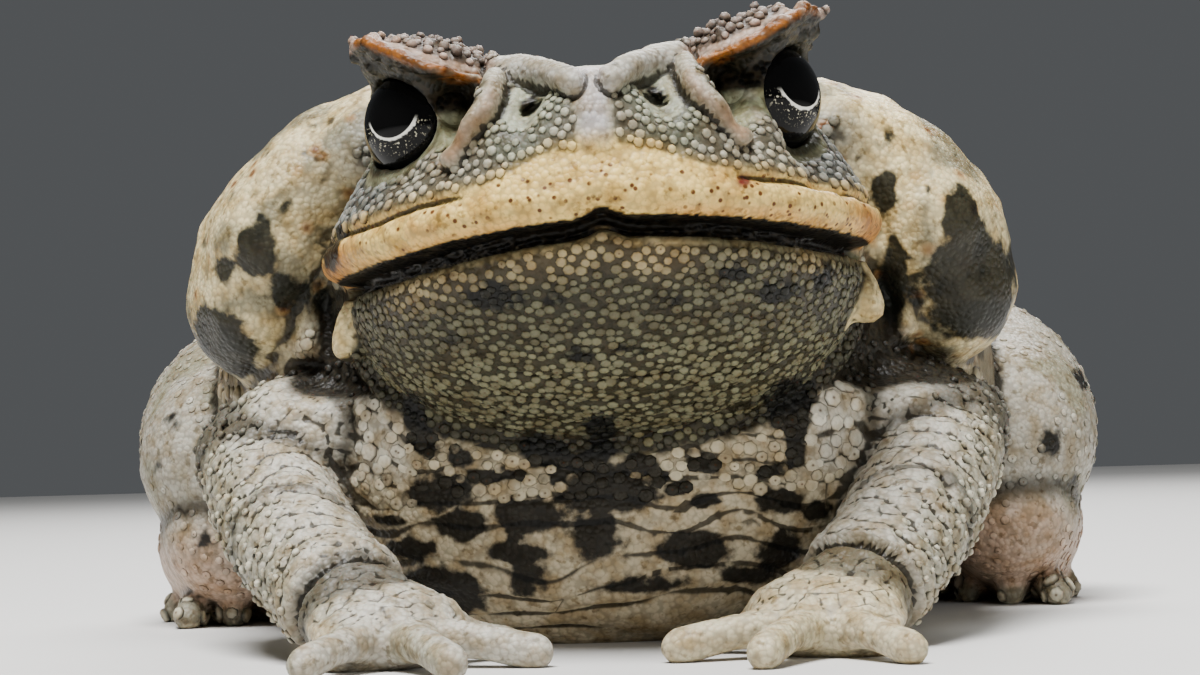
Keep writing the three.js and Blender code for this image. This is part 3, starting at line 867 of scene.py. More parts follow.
def torso_gap(points):
    """Roughly the gap from points to the torso: the squared oval of the station at their y."""
    rows = glide(TORSO_STATIONS, np.linspace(0, 1, 200))
    half_width, top, bottom, wide = (np.interp(points[:, 1], rows[:, 0], rows[:, column])
                                     for column in (1, 2, 3, 4))
    height = np.maximum(np.where(points[:, 2] > wide, top - wide, wide - bottom), 0.5)
    power = 2 / TORSO_SQUARENESS
    across = np.abs(points[:, 0] / np.maximum(half_width, 0.5)) ** power
    reach = (across + np.abs((points[:, 2] - wide) / height) ** power) ** (1 / power)
    ends = np.maximum(rows[0, 0] - points[:, 1], points[:, 1] - rows[-1, 0])
    return np.maximum((reach - 1) * np.minimum(half_width, height), ends)


# The head's outline in plan: half its width, and its reach before its axis
HEAD_PLAN = (31.6, 36.0)
# The groups of limbs whose meeting makes a crease, where shade is painted
CREASE_GROUPS = (("parotoid",), ("upper_arm",), ("forearm",), ("palm", "finger"), ("thigh",),
                 ("shin", "sole", "toe"), ("lobe",))


class Places:
    """Fields over the skin's points: the gap to each limb, and the head's own coordinates."""

    def __init__(self, points, normals):
        self.points = points
        self.normals = normals
        self.head = rolled(points, -HEAD_ROLL)
        self.folded = self.head * (1, 1, 1)
        self.folded[:, 0] = np.abs(self.folded[:, 0])
        self.side = np.sign(points[:, 0])
        self.limbs = {}
        for name, side in SIDES.items():
            upper, lower = arm_paths(name)
            palm, fingers = hand_paths(name)
            sole, toes = foot_paths(name)
            paths = {
                "upper_arm": upper, "forearm": lower, "palm": palm, "sole": sole,
                "thigh": mirrored(THIGH_PATH, side, HIND_LEG_INWARDS[name]),
                "shin": mirrored(SHIN_PATH, side, HIND_LEG_INWARDS[name]),
                "parotoid": mirrored(PAROTOID_PATH, side),
                "lobe": mirrored(MOUTH_LOBE_PATH, side),
            }
            for limb_name, path in paths.items():
                self.keep(limb_name, path, side)
            for path in fingers:
                self.keep("finger", path, side)
            for path in toes:
                self.keep("toe", path, side)
        self.find_head()
        self.find_creases()
        self.find_body()

    def keep(self, name, path, side):
        """Keeps a limb's gap and place on its own side, where it is nearer than what was kept."""
        squash = PAROTOID_SQUASH if name == "parotoid" else 1.0
        gap, place = path_field(self.points, path, squash)
        gap = np.where(self.points[:, 0] * side > 0, gap, FAR)
        old_gap, old_place = self.limbs.get(name, (np.full(len(gap), FAR), np.zeros(len(gap))))
        nearer = gap < old_gap
        self.limbs[name] = (np.where(nearer, gap, old_gap), np.where(nearer, place, old_place))

    def find_head(self):
        """Upper head and lower jaw: inside the jaw's outline in plan, above or below the mouth."""
        x, y, z = self.head.T
        plan = np.hypot(x / HEAD_PLAN[0], (y - HEAD_AXIS_Y) / HEAD_PLAN[1])
        self.plan = plan
        in_plan = smooth_step(1.12, 1.0, plan)
        front = smooth_step(-30, -36, y)
        self.above_mouth = z - mouth_height(np.arctan2(x, HEAD_AXIS_Y - y))
        self.upper_head = in_plan * front * smooth_step(-0.5, 0.3, self.above_mouth)
        rows = LOWER_JAW[:2:-1]
        jaw_plan = [row[2] / LOWER_JAW[3][2] * 0.92 for row in rows]
        self.jaw_bottom = np.interp(plan * 0.96, jaw_plan, [row[3] for row in rows])
        self.jaw = in_plan * front * smooth_step(0.3, -0.5, self.above_mouth)
        self.jaw *= smooth_step(-2.2, -0.8, z - self.jaw_bottom)
        self.on_face = smooth_step(0.86, 0.9, plan) * in_plan * smooth_step(-35, -37, y)
        self.from_eye = np.linalg.norm(self.folded - EYE, axis=1)

    def find_creases(self):
        """How far into the angle where two parts meet a point lies, for the painted shade there: by its
        gap to the second nearest of the torso, the glands, the arms and the legs; and the hollows, pushed
        back and painted with shade."""
        gaps = [torso_gap(self.points)]
        gaps += [np.min([self.limbs[name][0] for name in group], axis=0) for group in CREASE_GROUPS]
        below = np.maximum(self.jaw_bottom - self.head[:, 2], 0) * 0.8
        beside = np.maximum(self.plan - 0.92, 0) * 31
        on_head = self.upper_head + self.jaw > 0.5
        gaps.append(np.where(on_head, 0.0, np.hypot(below, beside) + THROAT_OPENNESS))
        second = np.partition(np.array(gaps), 1, axis=0)[1]
        self.crease = smooth_step(1.7, 0.3, second) * smooth_step(0.0, 0.8, self.limbs["lobe"][0])
        x, y, z = self.points.T
        hollow = np.zeros(len(x))
        for name, side in SIDES.items():
            for middle, half_width, level, half_height in HOLLOWS[name]:
                across, upward = (x * side - middle) / half_width, (z - level) / half_height
                hollow = np.maximum(hollow, np.exp(-across ** 4 - upward ** 4))
        self.hollow = hollow * smooth_step(-12, -20, y) * (1 - self.upper_head) * (1 - self.jaw)
        self.hollow *= smooth_step(0.3, 1.2, self.limbs["lobe"][0])
        self.hollow *= smooth_step(0.0, 2.0, self.limbs["parotoid"][0])

    def find_body(self):
        """The arms, the white patches over the shoulders, and what the camera can't see."""
        x, y, z = self.points.T
        self.arm = self.near("forearm", "upper_arm", "palm", "finger")
        height = smooth_step(17.5, 20, z) * smooth_step(30.5, 28.5, z)
        self.shoulder = (smooth_step(21, 23.5, np.abs(x)) * smooth_step(34, 31, np.abs(x)) * height
                         * smooth_step(-20, -26, y) * (1 - self.arm) * (1 - self.jaw))
        # Painted shade: the slot of the mouth is painted black
        inside = np.abs(self.above_mouth + MOUTH_GAP) < MOUTH_GAP * 1.4
        before = (self.head[:, 1] < HEAD_AXIS_Y - 1) & (self.plan > 0.6) & (self.plan < 1.05)
        self.mouth_shade = (inside & before).astype(float)
        self.nostril = nostril_share(self.folded)
        side_x, depth, level = self.folded.T
        # Painted shade under the visor: skin under its rim that faces down, and the upper lid beneath it
        self.visor_shade = (smooth_step(-0.5, -0.9, level - rim_height(self.folded))
                            * smooth_step(14.5, 13.5, self.from_eye) * smooth_step(57.6, 58.6, level)
                            * smooth_step(-42, -46, depth) * smooth_step(11, 12.4, side_x)
                            * np.maximum(smooth_step(0.5, 0.25, self.normals[:, 2]), self.upper_lid()))
        facing = self.normals @ np.array([0, -1.0, -0.1])
        self.unseen = smooth_step(0.25, 0.0, facing) * (1 - self.upper_head) * (1 - self.jaw)
        outward = self.normals[:, 0] * self.side
        self.outer_arm = self.arm * smooth_step(0.0, 0.5, outward + 0.35 * self.normals[:, 1])
        self.brow = self.upper_head * smooth_step(62.5, 64, self.head[:, 2]) * (side_x > 10)

    def upper_lid(self):
        """1 on the upper lid's ball, under the visor."""
        return smooth_step(9.6, 9.0, self.from_eye) * smooth_step(63, 62.4, self.folded[:, 2])

    def near(self, *names, reach=1.5):
        """1 on the surface of any of the limbs, falling to 0 at the reach outside it."""
        return np.maximum.reduce([smooth_step(reach, 0.2, self.limbs[name][0]) for name in names])

    def along(self, name):
        """The place along a limb's path, from 0 to 1."""
        return self.limbs[name][1]


# Skin


def floor_flat(points):
    """Nothing passes below the floor: what would do so is pressed flat on it."""
    points = points.copy()
    points[:, 2] = np.maximum(points[:, 2], 0)
    return points


def groove(phase, sharpness):
    """Narrow furrows at whole numbers of the phase, 0 between them and 1 at their bottom."""
    return (1 - np.abs(np.sin(np.pi * phase))) ** sharpness


def skin_relief(places):
    """The height of folds, wrinkles and warts over the smooth body, in millimetres."""
    points, head = places.points, places.head
    x, y, z = points.T
    height = np.zeros(len(points))
    wander = noise(points, 7)
    fine = noise(points, 2.4, 3.0)

    lips = places.on_face
    above = places.above_mouth
    height += lips * 0.7 * np.exp(-((above - 2.1) / 1.7) ** 2)
    height -= lips * 0.5 * np.exp(-((above + 2) / 1.2) ** 2)
    side_x = np.abs(head[:, 0])
    cord, crease = np.zeros(len(points)), np.zeros(len(points))
    for name, (width, rise, line) in HEAD_RIDGES.items():
        distance = face_distance(places.folded, line) / width
        if name in FACE_CORDS:
            cord = np.maximum(cord, rise * np.sqrt(np.clip(1 - distance ** 2, 0, 1)))
            crease = np.maximum(crease, 0.7 * np.exp(-((distance - 1.3) / 0.28) ** 2))
        else:
            height += places.upper_head * SOFT_SHARE * rise * 1.5 * np.exp(-distance ** 2)
    cord = np.where(cord > 0, cord * (1 + 0.12 * fine), -crease)
    height += places.upper_head * SOFT_SHARE * 1.5 * cord
    rim = face_distance(places.folded, VISOR_RIM)
    height += smooth_step(2.2, 1.0, rim) * places.upper_head * 0.22 * noise(points, 1.1, 4.0)
    lip_groove = np.exp(-((above - 4.5 - 0.3 * wander) / 0.5) ** 2) * smooth_step(12, 17, side_x)
    height -= lips * 0.8 * lip_groove
    lip = lips * smooth_step(0, 1, above) * smooth_step(5, 4, above)
    height += lip * (0.12 * noise(points, 1.5, 1.0) + 0.2 * noise(points * (1, 1, 0.3), 2.6))

    forearm, t = places.near("forearm"), places.along("forearm")
    height -= forearm * 0.8 * groove(11 * t + 0.9 * wander + 0.25 * fine, 3) * (0.65 + 0.35 * fine)
    _, seam, _ = cells(points * (1, 1, 1.5), 2.6, 2.0)
    height -= places.arm * 0.22 * smooth_step(0.22, 0.02, seam) * smooth_step(3, 6, z)
    height -= forearm * 1.3 * np.exp(-((t - 0.93 + 0.03 * wander) / 0.035) ** 2)
    height += forearm * 0.5 * np.exp(-((t - 0.85) / 0.06) ** 2)
    upper_arm, t = places.near("upper_arm"), places.along("upper_arm")
    height -= upper_arm * 0.35 * groove(6 * t + 0.6 * wander, 4)

    body = 1 - np.maximum(places.arm, places.upper_head)
    belly = body * smooth_step(-18, -26, y) * smooth_step(34, 28, z) * (1 - places.jaw)
    height -= belly * 0.5 * groove(z / 3.1 + 0.9 * wander, 1.6) * (0.7 + 0.5 * noise(points, 5, 6.0))
    height += belly * 0.25 * noise(points * (0.6, 1, 1.6), 3)

    jaw_low = places.jaw * smooth_step(34, 28, head[:, 2])
    ring = np.hypot(head[:, 0] * 0.8, head[:, 2] - 52)
    height -= jaw_low * 0.5 * groove(ring / 2.1 + 0.35 * wander, 3)
    height += places.jaw * 0.15 * noise(points, 1.6)

    parotoid = places.near("parotoid", reach=2.0)
    height += parotoid * (0.6 * noise(points, 6) + 0.25 * noise(points, 2.6) + 0.08 * noise(points, 1.1))

    thigh = places.near("thigh", "shin")
    near1, _, number = cells(points, 4.2)
    wart = smooth_step(0.5, 0.05, near1) * (0.35 + 0.65 * number)
    outer = thigh * smooth_step(6, 14, z)
    height += outer * 0.3 * wart
    back = body * smooth_step(-20, -8, y) * smooth_step(20, 30, z) * (1 - thigh) * (1 - parotoid)
    big, _, big_number = cells(points, 9, 4.0)
    height += back * (1.5 * smooth_step(0.42, 0.05, big) * big_number + 0.5 * wart)

    brow_top = places.upper_head * smooth_step(62.5, 64.5, head[:, 2]) * smooth_step(10, 13, side_x)
    small, _, small_number = cells(points, 2.3, 7.0)
    height += brow_top * 0.9 * smooth_step(0.55, 0.1, small) * (0.4 + 0.6 * small_number)
    height += places.upper_head * 0.08 * noise(points, 1.2)
    return height


def nostril_share(folded):
    """1 in the middle of the nostril's slanted oval as seen from ahead, 0 at its edge."""
    cosine, sine = math.cos(NOSTRIL_LEAN), math.sin(NOSTRIL_LEAN)
    x, z = folded[:, 0] - NOSTRIL_CENTRE[0], folded[:, 2] - NOSTRIL_CENTRE[2]
    across, along = x * cosine - z * sine, x * sine + z * cosine
    share = 1 - (across / NOSTRIL_RADII[0]) ** 2 - (along / NOSTRIL_RADII[2]) ** 2
    return np.clip(share, 0, 1) * (folded[:, 1] < HEAD_AXIS_Y - 20)


def with_openings(points, places):
    """Draws the skin in along the mouth, towards the head's axis, at the nostrils, and in the
    hollows beside the throat, straight back."""
    centre = places.above_mouth + MOUTH_GAP
    share = np.clip(1 - (centre / (MOUTH_GAP * 1.25)) ** 2, 0, 1) ** 0.7
    depth = MOUTH_DEPTH * share * places.on_face * smooth_step(31.5, 29, np.abs(places.head[:, 0]))
    inward = np.array([0, HEAD_AXIS_Y, 0]) - points * (1, 1, 0)
    inward /= np.maximum(np.linalg.norm(inward, axis=1, keepdims=True), 1e-6)
    back = NOSTRIL_RADII[1] * places.nostril ** 0.5 + HOLLOW_DEPTH * places.hollow
    return points + inward * depth[:, None] + back[:, None] * (0, 1, 0)


# The head's cells as a share of the skin's, and the smoothing of the skin: how far each round
# moves a point, how much less it does so on the head, and the rounds for a cell of 1 mm
HEAD_CELL_SHARE = 0.75
SMOOTHING = 0.5
HEAD_FIRMNESS = 0.75
SMOOTHING_ROUNDS = 9


def skin_mesh(voxel):
    """The closed skin as points in millimetres and faces: forms fused, carved, smoothed, then
    raised along its normals by the relief."""
    head = [upper_head_form(), lower_jaw_form()]
    for side in SIDES.values():
        head += [lid_form(side), *brow_forms(side)]
        lobe, lobe_faces = limb(mirrored(MOUTH_LOBE_PATH, side), (1, 0, 0), 32, 40)
        head.append((rolled(lobe), lobe_faces))
    cutters = [mouth_cutter()]
    for name in SIDES:
        cutters += eye_cutters(name)
    head_points, head_faces = remeshed(*joined(head), voxel * HEAD_CELL_SHARE)
    head_solid = carved(head_points, head_faces, cutters)
    points, faces = remeshed(*joined([torso_form(), head_solid, *limb_forms()]), voxel)
    points, faces = largest_part(points, faces)
    edges = edges_of(faces)
    places = Places(points, normals_of(points, faces))
    on_head = np.maximum(places.upper_head, places.jaw)
    strength = SMOOTHING * (1 - HEAD_FIRMNESS * on_head)
    points = smoothed(points, edges, strength, int(round(SMOOTHING_ROUNDS / voxel)))
    normals = normals_of(points, faces)
    places = Places(points, normals)
    points = points + normals * skin_relief(places)[:, None]
    points = with_openings(points, places)
    return floor_flat(points), faces


# How strongly the detail steers where faces are kept
DETAIL_STRENGTH = 1.6


def thinned(points, faces, detail, most):
    """The mesh with at most `most` faces, kept densest where the detail is near 1."""
    obj = new_object("thinned", points * MM, faces)
    group = obj.vertex_groups.new(name="plain")
    weights = np.round(1 - detail, 1)
    for weight in np.unique(weights):
        group.add(np.flatnonzero(weights == weight).tolist(), float(weight), "REPLACE")
    modifier = obj.modifiers.new("fewer", "DECIMATE")
    modifier.ratio = min(1.0, most / len(faces))
    modifier.vertex_group = "plain"
    modifier.vertex_group_factor = DETAIL_STRENGTH
    result = arrays_of(obj)
    discard(obj)
    return result[0] / MM, result[1]


# Ground colours of the skin
CREAM = np.array([0.7, 0.58, 0.31])
LIP_CREAM = np.array([0.76, 0.54, 0.17])
GREY_CREAM = np.array([0.42, 0.39, 0.29])
PALE = np.array([0.44, 0.42, 0.36])
OCHRE = np.array([0.34, 0.12, 0.02])
OLIVE = np.array([0.15, 0.145, 0.08])
BELLY = np.array([0.62, 0.53, 0.36])
PINK = np.array([0.52, 0.35, 0.25])
LILAC = np.array([0.55, 0.52, 0.53])
WHITE = np.array([0.74, 0.68, 0.55])
GREY_GREEN = np.array([0.25, 0.26, 0.19])
LID_OLIVE = np.array([0.2, 0.2, 0.12])
LID_GREEN = np.array([0.34, 0.36, 0.22])
BLACK = np.array([0.0015, 0.0015, 0.0012])
BACK_BROWN = np.array([0.24, 0.19, 0.11])
GLAND_GREY = np.array([0.13, 0.13, 0.09])
FINGERTIP_RED = np.array([0.4, 0.1, 0.05])
THROAT_TAN = np.array([0.46, 0.35, 0.17])
CHEEK_GREY = np.array([0.22, 0.23, 0.21])
WART_RED = np.array([0.16, 0.03, 0.02])
RIDGE_BROWN = np.array([0.36, 0.27, 0.2])
RIDGE_RUST = np.array([0.24, 0.12, 0.04])
LID_EDGE_PALE = np.array([0.55, 0.56, 0.42])
BROW_BROWN = np.array([0.24, 0.19, 0.16])
VISOR_BROWN = np.array([0.4, 0.29, 0.23])


def blended(base, colour, amount):
    """The base moved towards the colour by an amount from 0 to 1 at each point."""
    return base + (colour - base) * np.clip(amount, 0, 1)[:, None]


def face_near(points, line, inner, outer):
    """1 within the inner distance of a line on the face, falling to 0 at the outer one."""
    return smooth_step(outer, inner, face_distance(points, line))


def skin_tone(places):
    """The skin's base colour, without its blotches, with painted shade in its creases, hollows, mouth and
    nostrils, on the jaw under the upper lip, beside the ridges before the eye and under the visor.
    """
    points, head = places.points, places.head
    x, y, z = points.T
    above = places.above_mouth
    soft = noise(points, 6, 11.0)
    tone = np.tile(GREY_CREAM, (len(points), 1))
    back = smooth_step(-26, -16, y) * smooth_step(12, 30, z + 4 * soft)
    tone = blended(tone, BACK_BROWN, back * (0.75 + 0.25 * soft))
    tone = blended(tone, BELLY, smooth_step(-18, -26, y) * smooth_step(38, 32, z))
    tone = blended(tone, WHITE, places.shoulder)
    thigh = places.near("thigh", "shin")
    tone = blended(tone, PALE * 0.85, thigh * 0.7)
    tone = blended(tone, OLIVE * 1.2, thigh * smooth_step(0.1, 0.5, noise(points, 5, 3.0)) * 0.55)
    tone = blended(tone, PINK, thigh * smooth_step(16, 7, z + 3 * soft) * 0.8)
    gland = places.near("parotoid", reach=2.5)
    tone = blended(tone, CREAM, gland * (0.85 + 0.15 * soft))
    patches = smooth_step(0.05, 0.45, noise(points, 3.6, 9.0) + 0.4 * noise(points, 1.4, 2.0))
    tone = blended(tone, GLAND_GREY, gland * 0.75 * patches)
    pale = smooth_step(5, 2, np.abs(x - 32.5)) * smooth_step(26, 34, z)
    tone = blended(tone, CREAM * 1.15, gland * pale)
    tone = blended(tone, PALE, places.arm * 0.9)
    tone = blended(tone, OLIVE * 2, places.outer_arm * 0.35)
    tone = blended(tone, CREAM * 0.85, places.near("palm", "finger") * (x > 0) * 0.5)
    tip = smooth_step(3.4, 1.5, np.linalg.norm(points - RED_FINGERTIP, axis=1))
    tone = blended(tone, FINGERTIP_RED, places.near("finger") * tip * 0.7)
    tone = blended(tone, OLIVE * 0.75, places.jaw)
    tone = blended(tone, OLIVE * 1.25, places.jaw * smooth_step(35, 29, head[:, 2]))
    side_x = places.folded[:, 0]
    near_lip = places.jaw * smooth_step(-6.5, -2.5, above + soft) * smooth_step(26, 20, side_x)
    tone = blended(tone, THROAT_TAN, near_lip * (0.6 + 0.5 * soft))
    # Painted shadow of the upper lip on the top of the lower jaw
    tone = blended(tone, OLIVE * 0.3, smooth_step(-3.0, -1.6, above) * places.on_face * places.jaw)
    tone = brow_tone(face_tone(tone, places, soft), places, soft)
    # Painted shade: the nostrils' openings are painted black
    tone = blended(tone, BLACK, smooth_step(0.03, 0.3, places.nostril))
    # Painted shade in the creases where parts meet and in the hollows beside the throat
    crease_shade = np.clip(places.crease * 0.75 + smooth_step(0.15, 0.6, places.hollow), 0, 1)
    tone = tone * (1 - 0.95 * crease_shade * (1 - places.upper_head))[:, None]
    lobe = places.near("lobe", reach=0.9) * smooth_step(-1.5, -2.5, above)
    tone = blended(tone, CREAM * 1.1, lobe)
    # Painted shade: black inside the mouth's slot
    return blended(tone, BLACK, places.mouth_shade)


def face_tone(tone, places, soft):
    """Cheeks, snout, upper lip with its brown stains and its wart, and the ridges, with painted shade in a
    crease beside them.
    """
    points, head, folded = places.points, places.head, places.folded
    side_x, above, upper = folded[:, 0], places.above_mouth, places.upper_head
    tone = blended(tone, GREY_CREAM * 0.8, upper)
    tone = blended(tone, CHEEK_GREY, upper * smooth_step(19, 24, side_x))
    beside_snout = face_near(folded, [(5.5, -65, 58), (8, -65, 54)], 2.2, 4)
    tone = blended(tone, GREY_GREEN * 1.3, upper * beside_snout)
    lip = upper * smooth_step(6.6, 4.4, above - 2.6 * smooth_step(13, 3, side_x))
    tone = blended(tone, LIP_CREAM, lip)
    stains = smooth_step(0.1, 0.5, noise(points, 2.2, 4.0))
    brown = smooth_step(24, 29, side_x) * smooth_step(4.2, 1.6, above + 1.2 * soft)
    brown = np.maximum(brown, 0.35 * stains * smooth_step(8, 16, side_x))
    lower_edge = smooth_step(1.6, 0.5, above + 0.5 * soft)
    brown = np.maximum(brown, 0.5 * lower_edge * smooth_step(4, 9, side_x))
    tone = blended(tone, OCHRE * 1.6, lip * brown * 0.75)
    wart = np.linalg.norm((head - RED_WART) * (1, 0.1, 1), axis=1)
    tone = blended(tone, WART_RED, upper * smooth_step(RED_WART_RADIUS, RED_WART_RADIUS * 0.5, wart))
    snout = upper * smooth_step(2.4, 0.9, side_x + 0.4 * soft) * smooth_step(5.5, 9, above)
    tone = blended(tone, LILAC * 0.85, snout * smooth_step(-60, -63, head[:, 1]) * 0.85)
    canthal = face_near(folded, HEAD_RIDGES["canthal"][2], 0.9, 1.6)
    tone = blended(tone, PALE * 0.85, upper * canthal)
    # Painted shade: a black line in the crease beside the ridges before the eye
    crease = face_near(folded, [(8.6, -60, 59.6), (9, -62, 57.2), (9.8, -63, 55.6)], 0.25, 0.9)
    tone = blended(tone, BLACK, upper * crease * 0.85)
    ridge = upper * face_near(folded, PREORBITAL_LINE, 0.9, 1.5)
    tone = blended(tone, RIDGE_BROWN, ridge)
    return blended(tone, RIDGE_RUST, ridge * smooth_step(57.5, 55, head[:, 2] + soft) * 0.6)


def brow_tone(tone, places, soft):
    """The lids, the skin before the eye, and the visor with its ochre rim, and painted shade under the
    visor.
    """
    points, head, folded = places.points, places.head, places.folded
    side_x, depth, level = folded.T
    upper = places.upper_head
    lids = smooth_step(9.6, 8.6, places.from_eye) * smooth_step(62.5, 61.5, level)
    tone = blended(tone, LID_OLIVE * (0.8 + 0.3 * soft[:, None]), lids)
    membrane = smooth_step(8.6, 8.1, places.from_eye) * smooth_step(61.5, 60.5, level)
    inner = smooth_step(19.5, 17.5, side_x)
    tone = blended(tone, LID_GREEN * (0.9 + 0.3 * soft[:, None]), membrane * inner)
    rim_of_eye = smooth_step(7.9, 7.6, places.from_eye)
    tone = blended(tone, LID_OLIVE * 0.2, rim_of_eye * smooth_step(55, 53, level))
    inner_edge = rim_of_eye * smooth_step(17.6, 16.8, side_x) * smooth_step(54, 55, level)
    tone = blended(tone, LID_EDGE_PALE, inner_edge * smooth_step(60, 59, level))
    panel = upper * face_near(folded, HEAD_RIDGES["lid_panel"][2], 1.1, 1.9)
    tone = blended(tone, LID_GREEN * 0.95, panel * (0.85 + 0.15 * soft))
    rim = face_distance(folded, VISOR_RIM)
    # Painted shade under the visor, black on its inner part
    tone = blended(tone, LID_OLIVE * 0.2, places.visor_shade)
    tone = blended(tone, BLACK, places.visor_shade * smooth_step(25.5, 20, side_x))
    brow = upper * smooth_step(61.5, 63, head[:, 2]) * smooth_step(9, 11, side_x)
    brow = brow * (1 - places.visor_shade)
    tone = blended(tone, BROW_BROWN, brow)
    tone = blended(tone, VISOR_BROWN, brow * smooth_step(2.6, 1.9, rim))
    at_front = smooth_step(-44, -48, depth)
    band = smooth_step(1.15, 0.85, rim) * smooth_step(10, 11.5, side_x) * at_front
    band = band * (1 - 0.6 * smooth_step(0.2, 0.5, noise(points, 1.3, 2.0)))
    tone = blended(tone, OCHRE * (0.62 + 0.5 * noise(points, 1.4, 6.0)[:, None]), band)
    shadow = smooth_step(-0.15, -0.55, level - rim_height(folded)) * smooth_step(2.4, 1.6, rim)
    shadow = shadow * upper * smooth_step(10.5, 12, side_x) * at_front
    return blended(tone, LID_OLIVE * 0.05, shadow)


class Markings:
    """The dark blotches of the skin: ovals round the places where the picture shows them, and
    soft random patches where it doesn't."""

    def __init__(self, points, faces):
        self.ovals = []
        tree = BVHTree.FromPolygons(points.tolist(), faces.tolist())
        right, up, ahead = camera_axes()
        origin = np.array(CAMERA_PLACE)
        for marks in (THROAT_BLOTCHES, CHEST_BLOTCHES, GLAND_BLOTCHES, HAUNCH_BLOTCHES):
            for across, down, half_width, half_height, strength in marks:
                ray = (ahead * FOCAL_PIXELS + right * (across - PHOTO_WIDTH / 2)
                       + up * (PHOTO_HEIGHT / 2 - down))
                place, _, _, distance = tree.ray_cast(Vector(origin), Vector(ray).normalized())
                if place is None:
                    continue
                pixel = distance / FOCAL_PIXELS
                axes = np.stack([right / (half_width * pixel * BLOTCH_GROWTH),
                                 up / (half_height * pixel * BLOTCH_GROWTH),
                                 ahead / BLOTCH_DEPTH], 1)
                self.ovals.append((np.array(place), axes, strength))

    def at(self, places):
        """Above a half the skin is dark: 1 less half the distance in ovals from the nearest blotch
        that is shown, frayed by noise, or a random patch on what the picture doesn't show."""
        points = places.points
        shown = np.full(len(points), -9.0)
        for centre, axes, strength in self.ovals:
            distance = np.linalg.norm((points - centre) @ axes, axis=1)
            shown = np.maximum(shown, (1 - 0.5 * distance) * strength)
        shown = shown + 0.1 * noise(points, 2.6, 5.0) + 0.07 * noise(points, 1.1, 8.0)
        hidden = 0.33 + 0.36 * noise(points, 8, 2.0) + 0.12 * noise(points, 3, 5.0)
        hidden = hidden - 0.3 * places.arm
        return np.where(places.unseen > 0.5, np.maximum(shown, hidden), shown)


def cavity_of(points, edges, normals):
    """How far each vertex lies below its neighbours' mean, in edge lengths."""
    mean = neighbour_mean(points, edges, len(points))
    length = np.linalg.norm(points[edges[:, 0]] - points[edges[:, 1]], axis=1).mean()
    return np.einsum("ij,ij->i", mean - points, normals) / length


# Materials


class Nodes:
    """Small helpers to wire one material's nodes."""

    def __init__(self, name):
        self.material = bpy.data.materials.new(name)
        self.material.use_nodes = True
        self.tree = self.material.node_tree
        self.shader = self.tree.nodes["Principled BSDF"]

    def add(self, kind, **settings):
        node = self.tree.nodes.new(kind)
        for key, value in settings.items():
            setattr(node, key, value)
        return node

    def link(self, source, target):
        self.tree.links.new(source, target)

    def value(self, operation, first, second=None):
        node = self.add("ShaderNodeMath", operation=operation)
        for socket, given in zip(node.inputs, (first, second)):
            if isinstance(given, (int, float)):
                socket.default_value = given
            elif given is not None:
                self.link(given, socket)
        return node.outputs[0]

    def product(self, first, *others):
        """All of them multiplied, one after the other."""
        for other in others:
            first = self.value("MULTIPLY", first, other)
        return first

    def ramp(self, source, low, high, start=0.0, finish=1.0):
        """A smooth step from start at low to finish at high."""
        node = self.add("ShaderNodeMapRange", interpolation_type="SMOOTHSTEP")
        self.link(source, node.inputs["Value"])
        node.inputs["From Min"].default_value = low
        node.inputs["From Max"].default_value = high
        node.inputs["To Min"].default_value = start
        node.inputs["To Max"].default_value = finish
        return node.outputs["Result"]

    def attribute(self, name, output="Fac"):
        return self.add("ShaderNodeAttribute", attribute_name=name).outputs[output]

    def noise(self, scale, detail):
        node = self.add("ShaderNodeTexNoise")
        self.link(self.coordinates(), node.inputs["Vector"])
        node.inputs["Scale"].default_value = scale
        node.inputs["Detail"].default_value = detail
        return node.outputs["Fac"]

    def cells(self, scale):
        """Distance to the nearest of one random centre a cell."""
        node = self.add("ShaderNodeTexVoronoi")
        self.link(self.coordinates(), node.inputs["Vector"])
        node.inputs["Scale"].default_value = scale
        return node.outputs["Distance"]

    def coordinates(self):
        return self.add("ShaderNodeTexCoord").outputs["Object"]

    def mix(self, amount, first, second, blend="MIX"):
        node = self.add("ShaderNodeMix", data_type="RGBA", blend_type=blend)
        sockets = (node.inputs[0], node.inputs[6], node.inputs[7])
        for socket, given in zip(sockets, (amount, first, second)):
            if isinstance(given, (int, float)):
                socket.default_value = given
            elif isinstance(given, tuple):
                socket.default_value = (*given, 1)
            else:
                self.link(given, socket)
        return node.outputs[2]

    def bump(self, height, distance, strength, onto=None):
        node = self.add("ShaderNodeBump")
        node.inputs["Strength"].default_value = strength
        node.inputs["Distance"].default_value = distance
        self.link(height, node.inputs["Height"])
        if onto is not None:
            self.link(onto, node.inputs["Normal"])
        return node.outputs["Normal"]


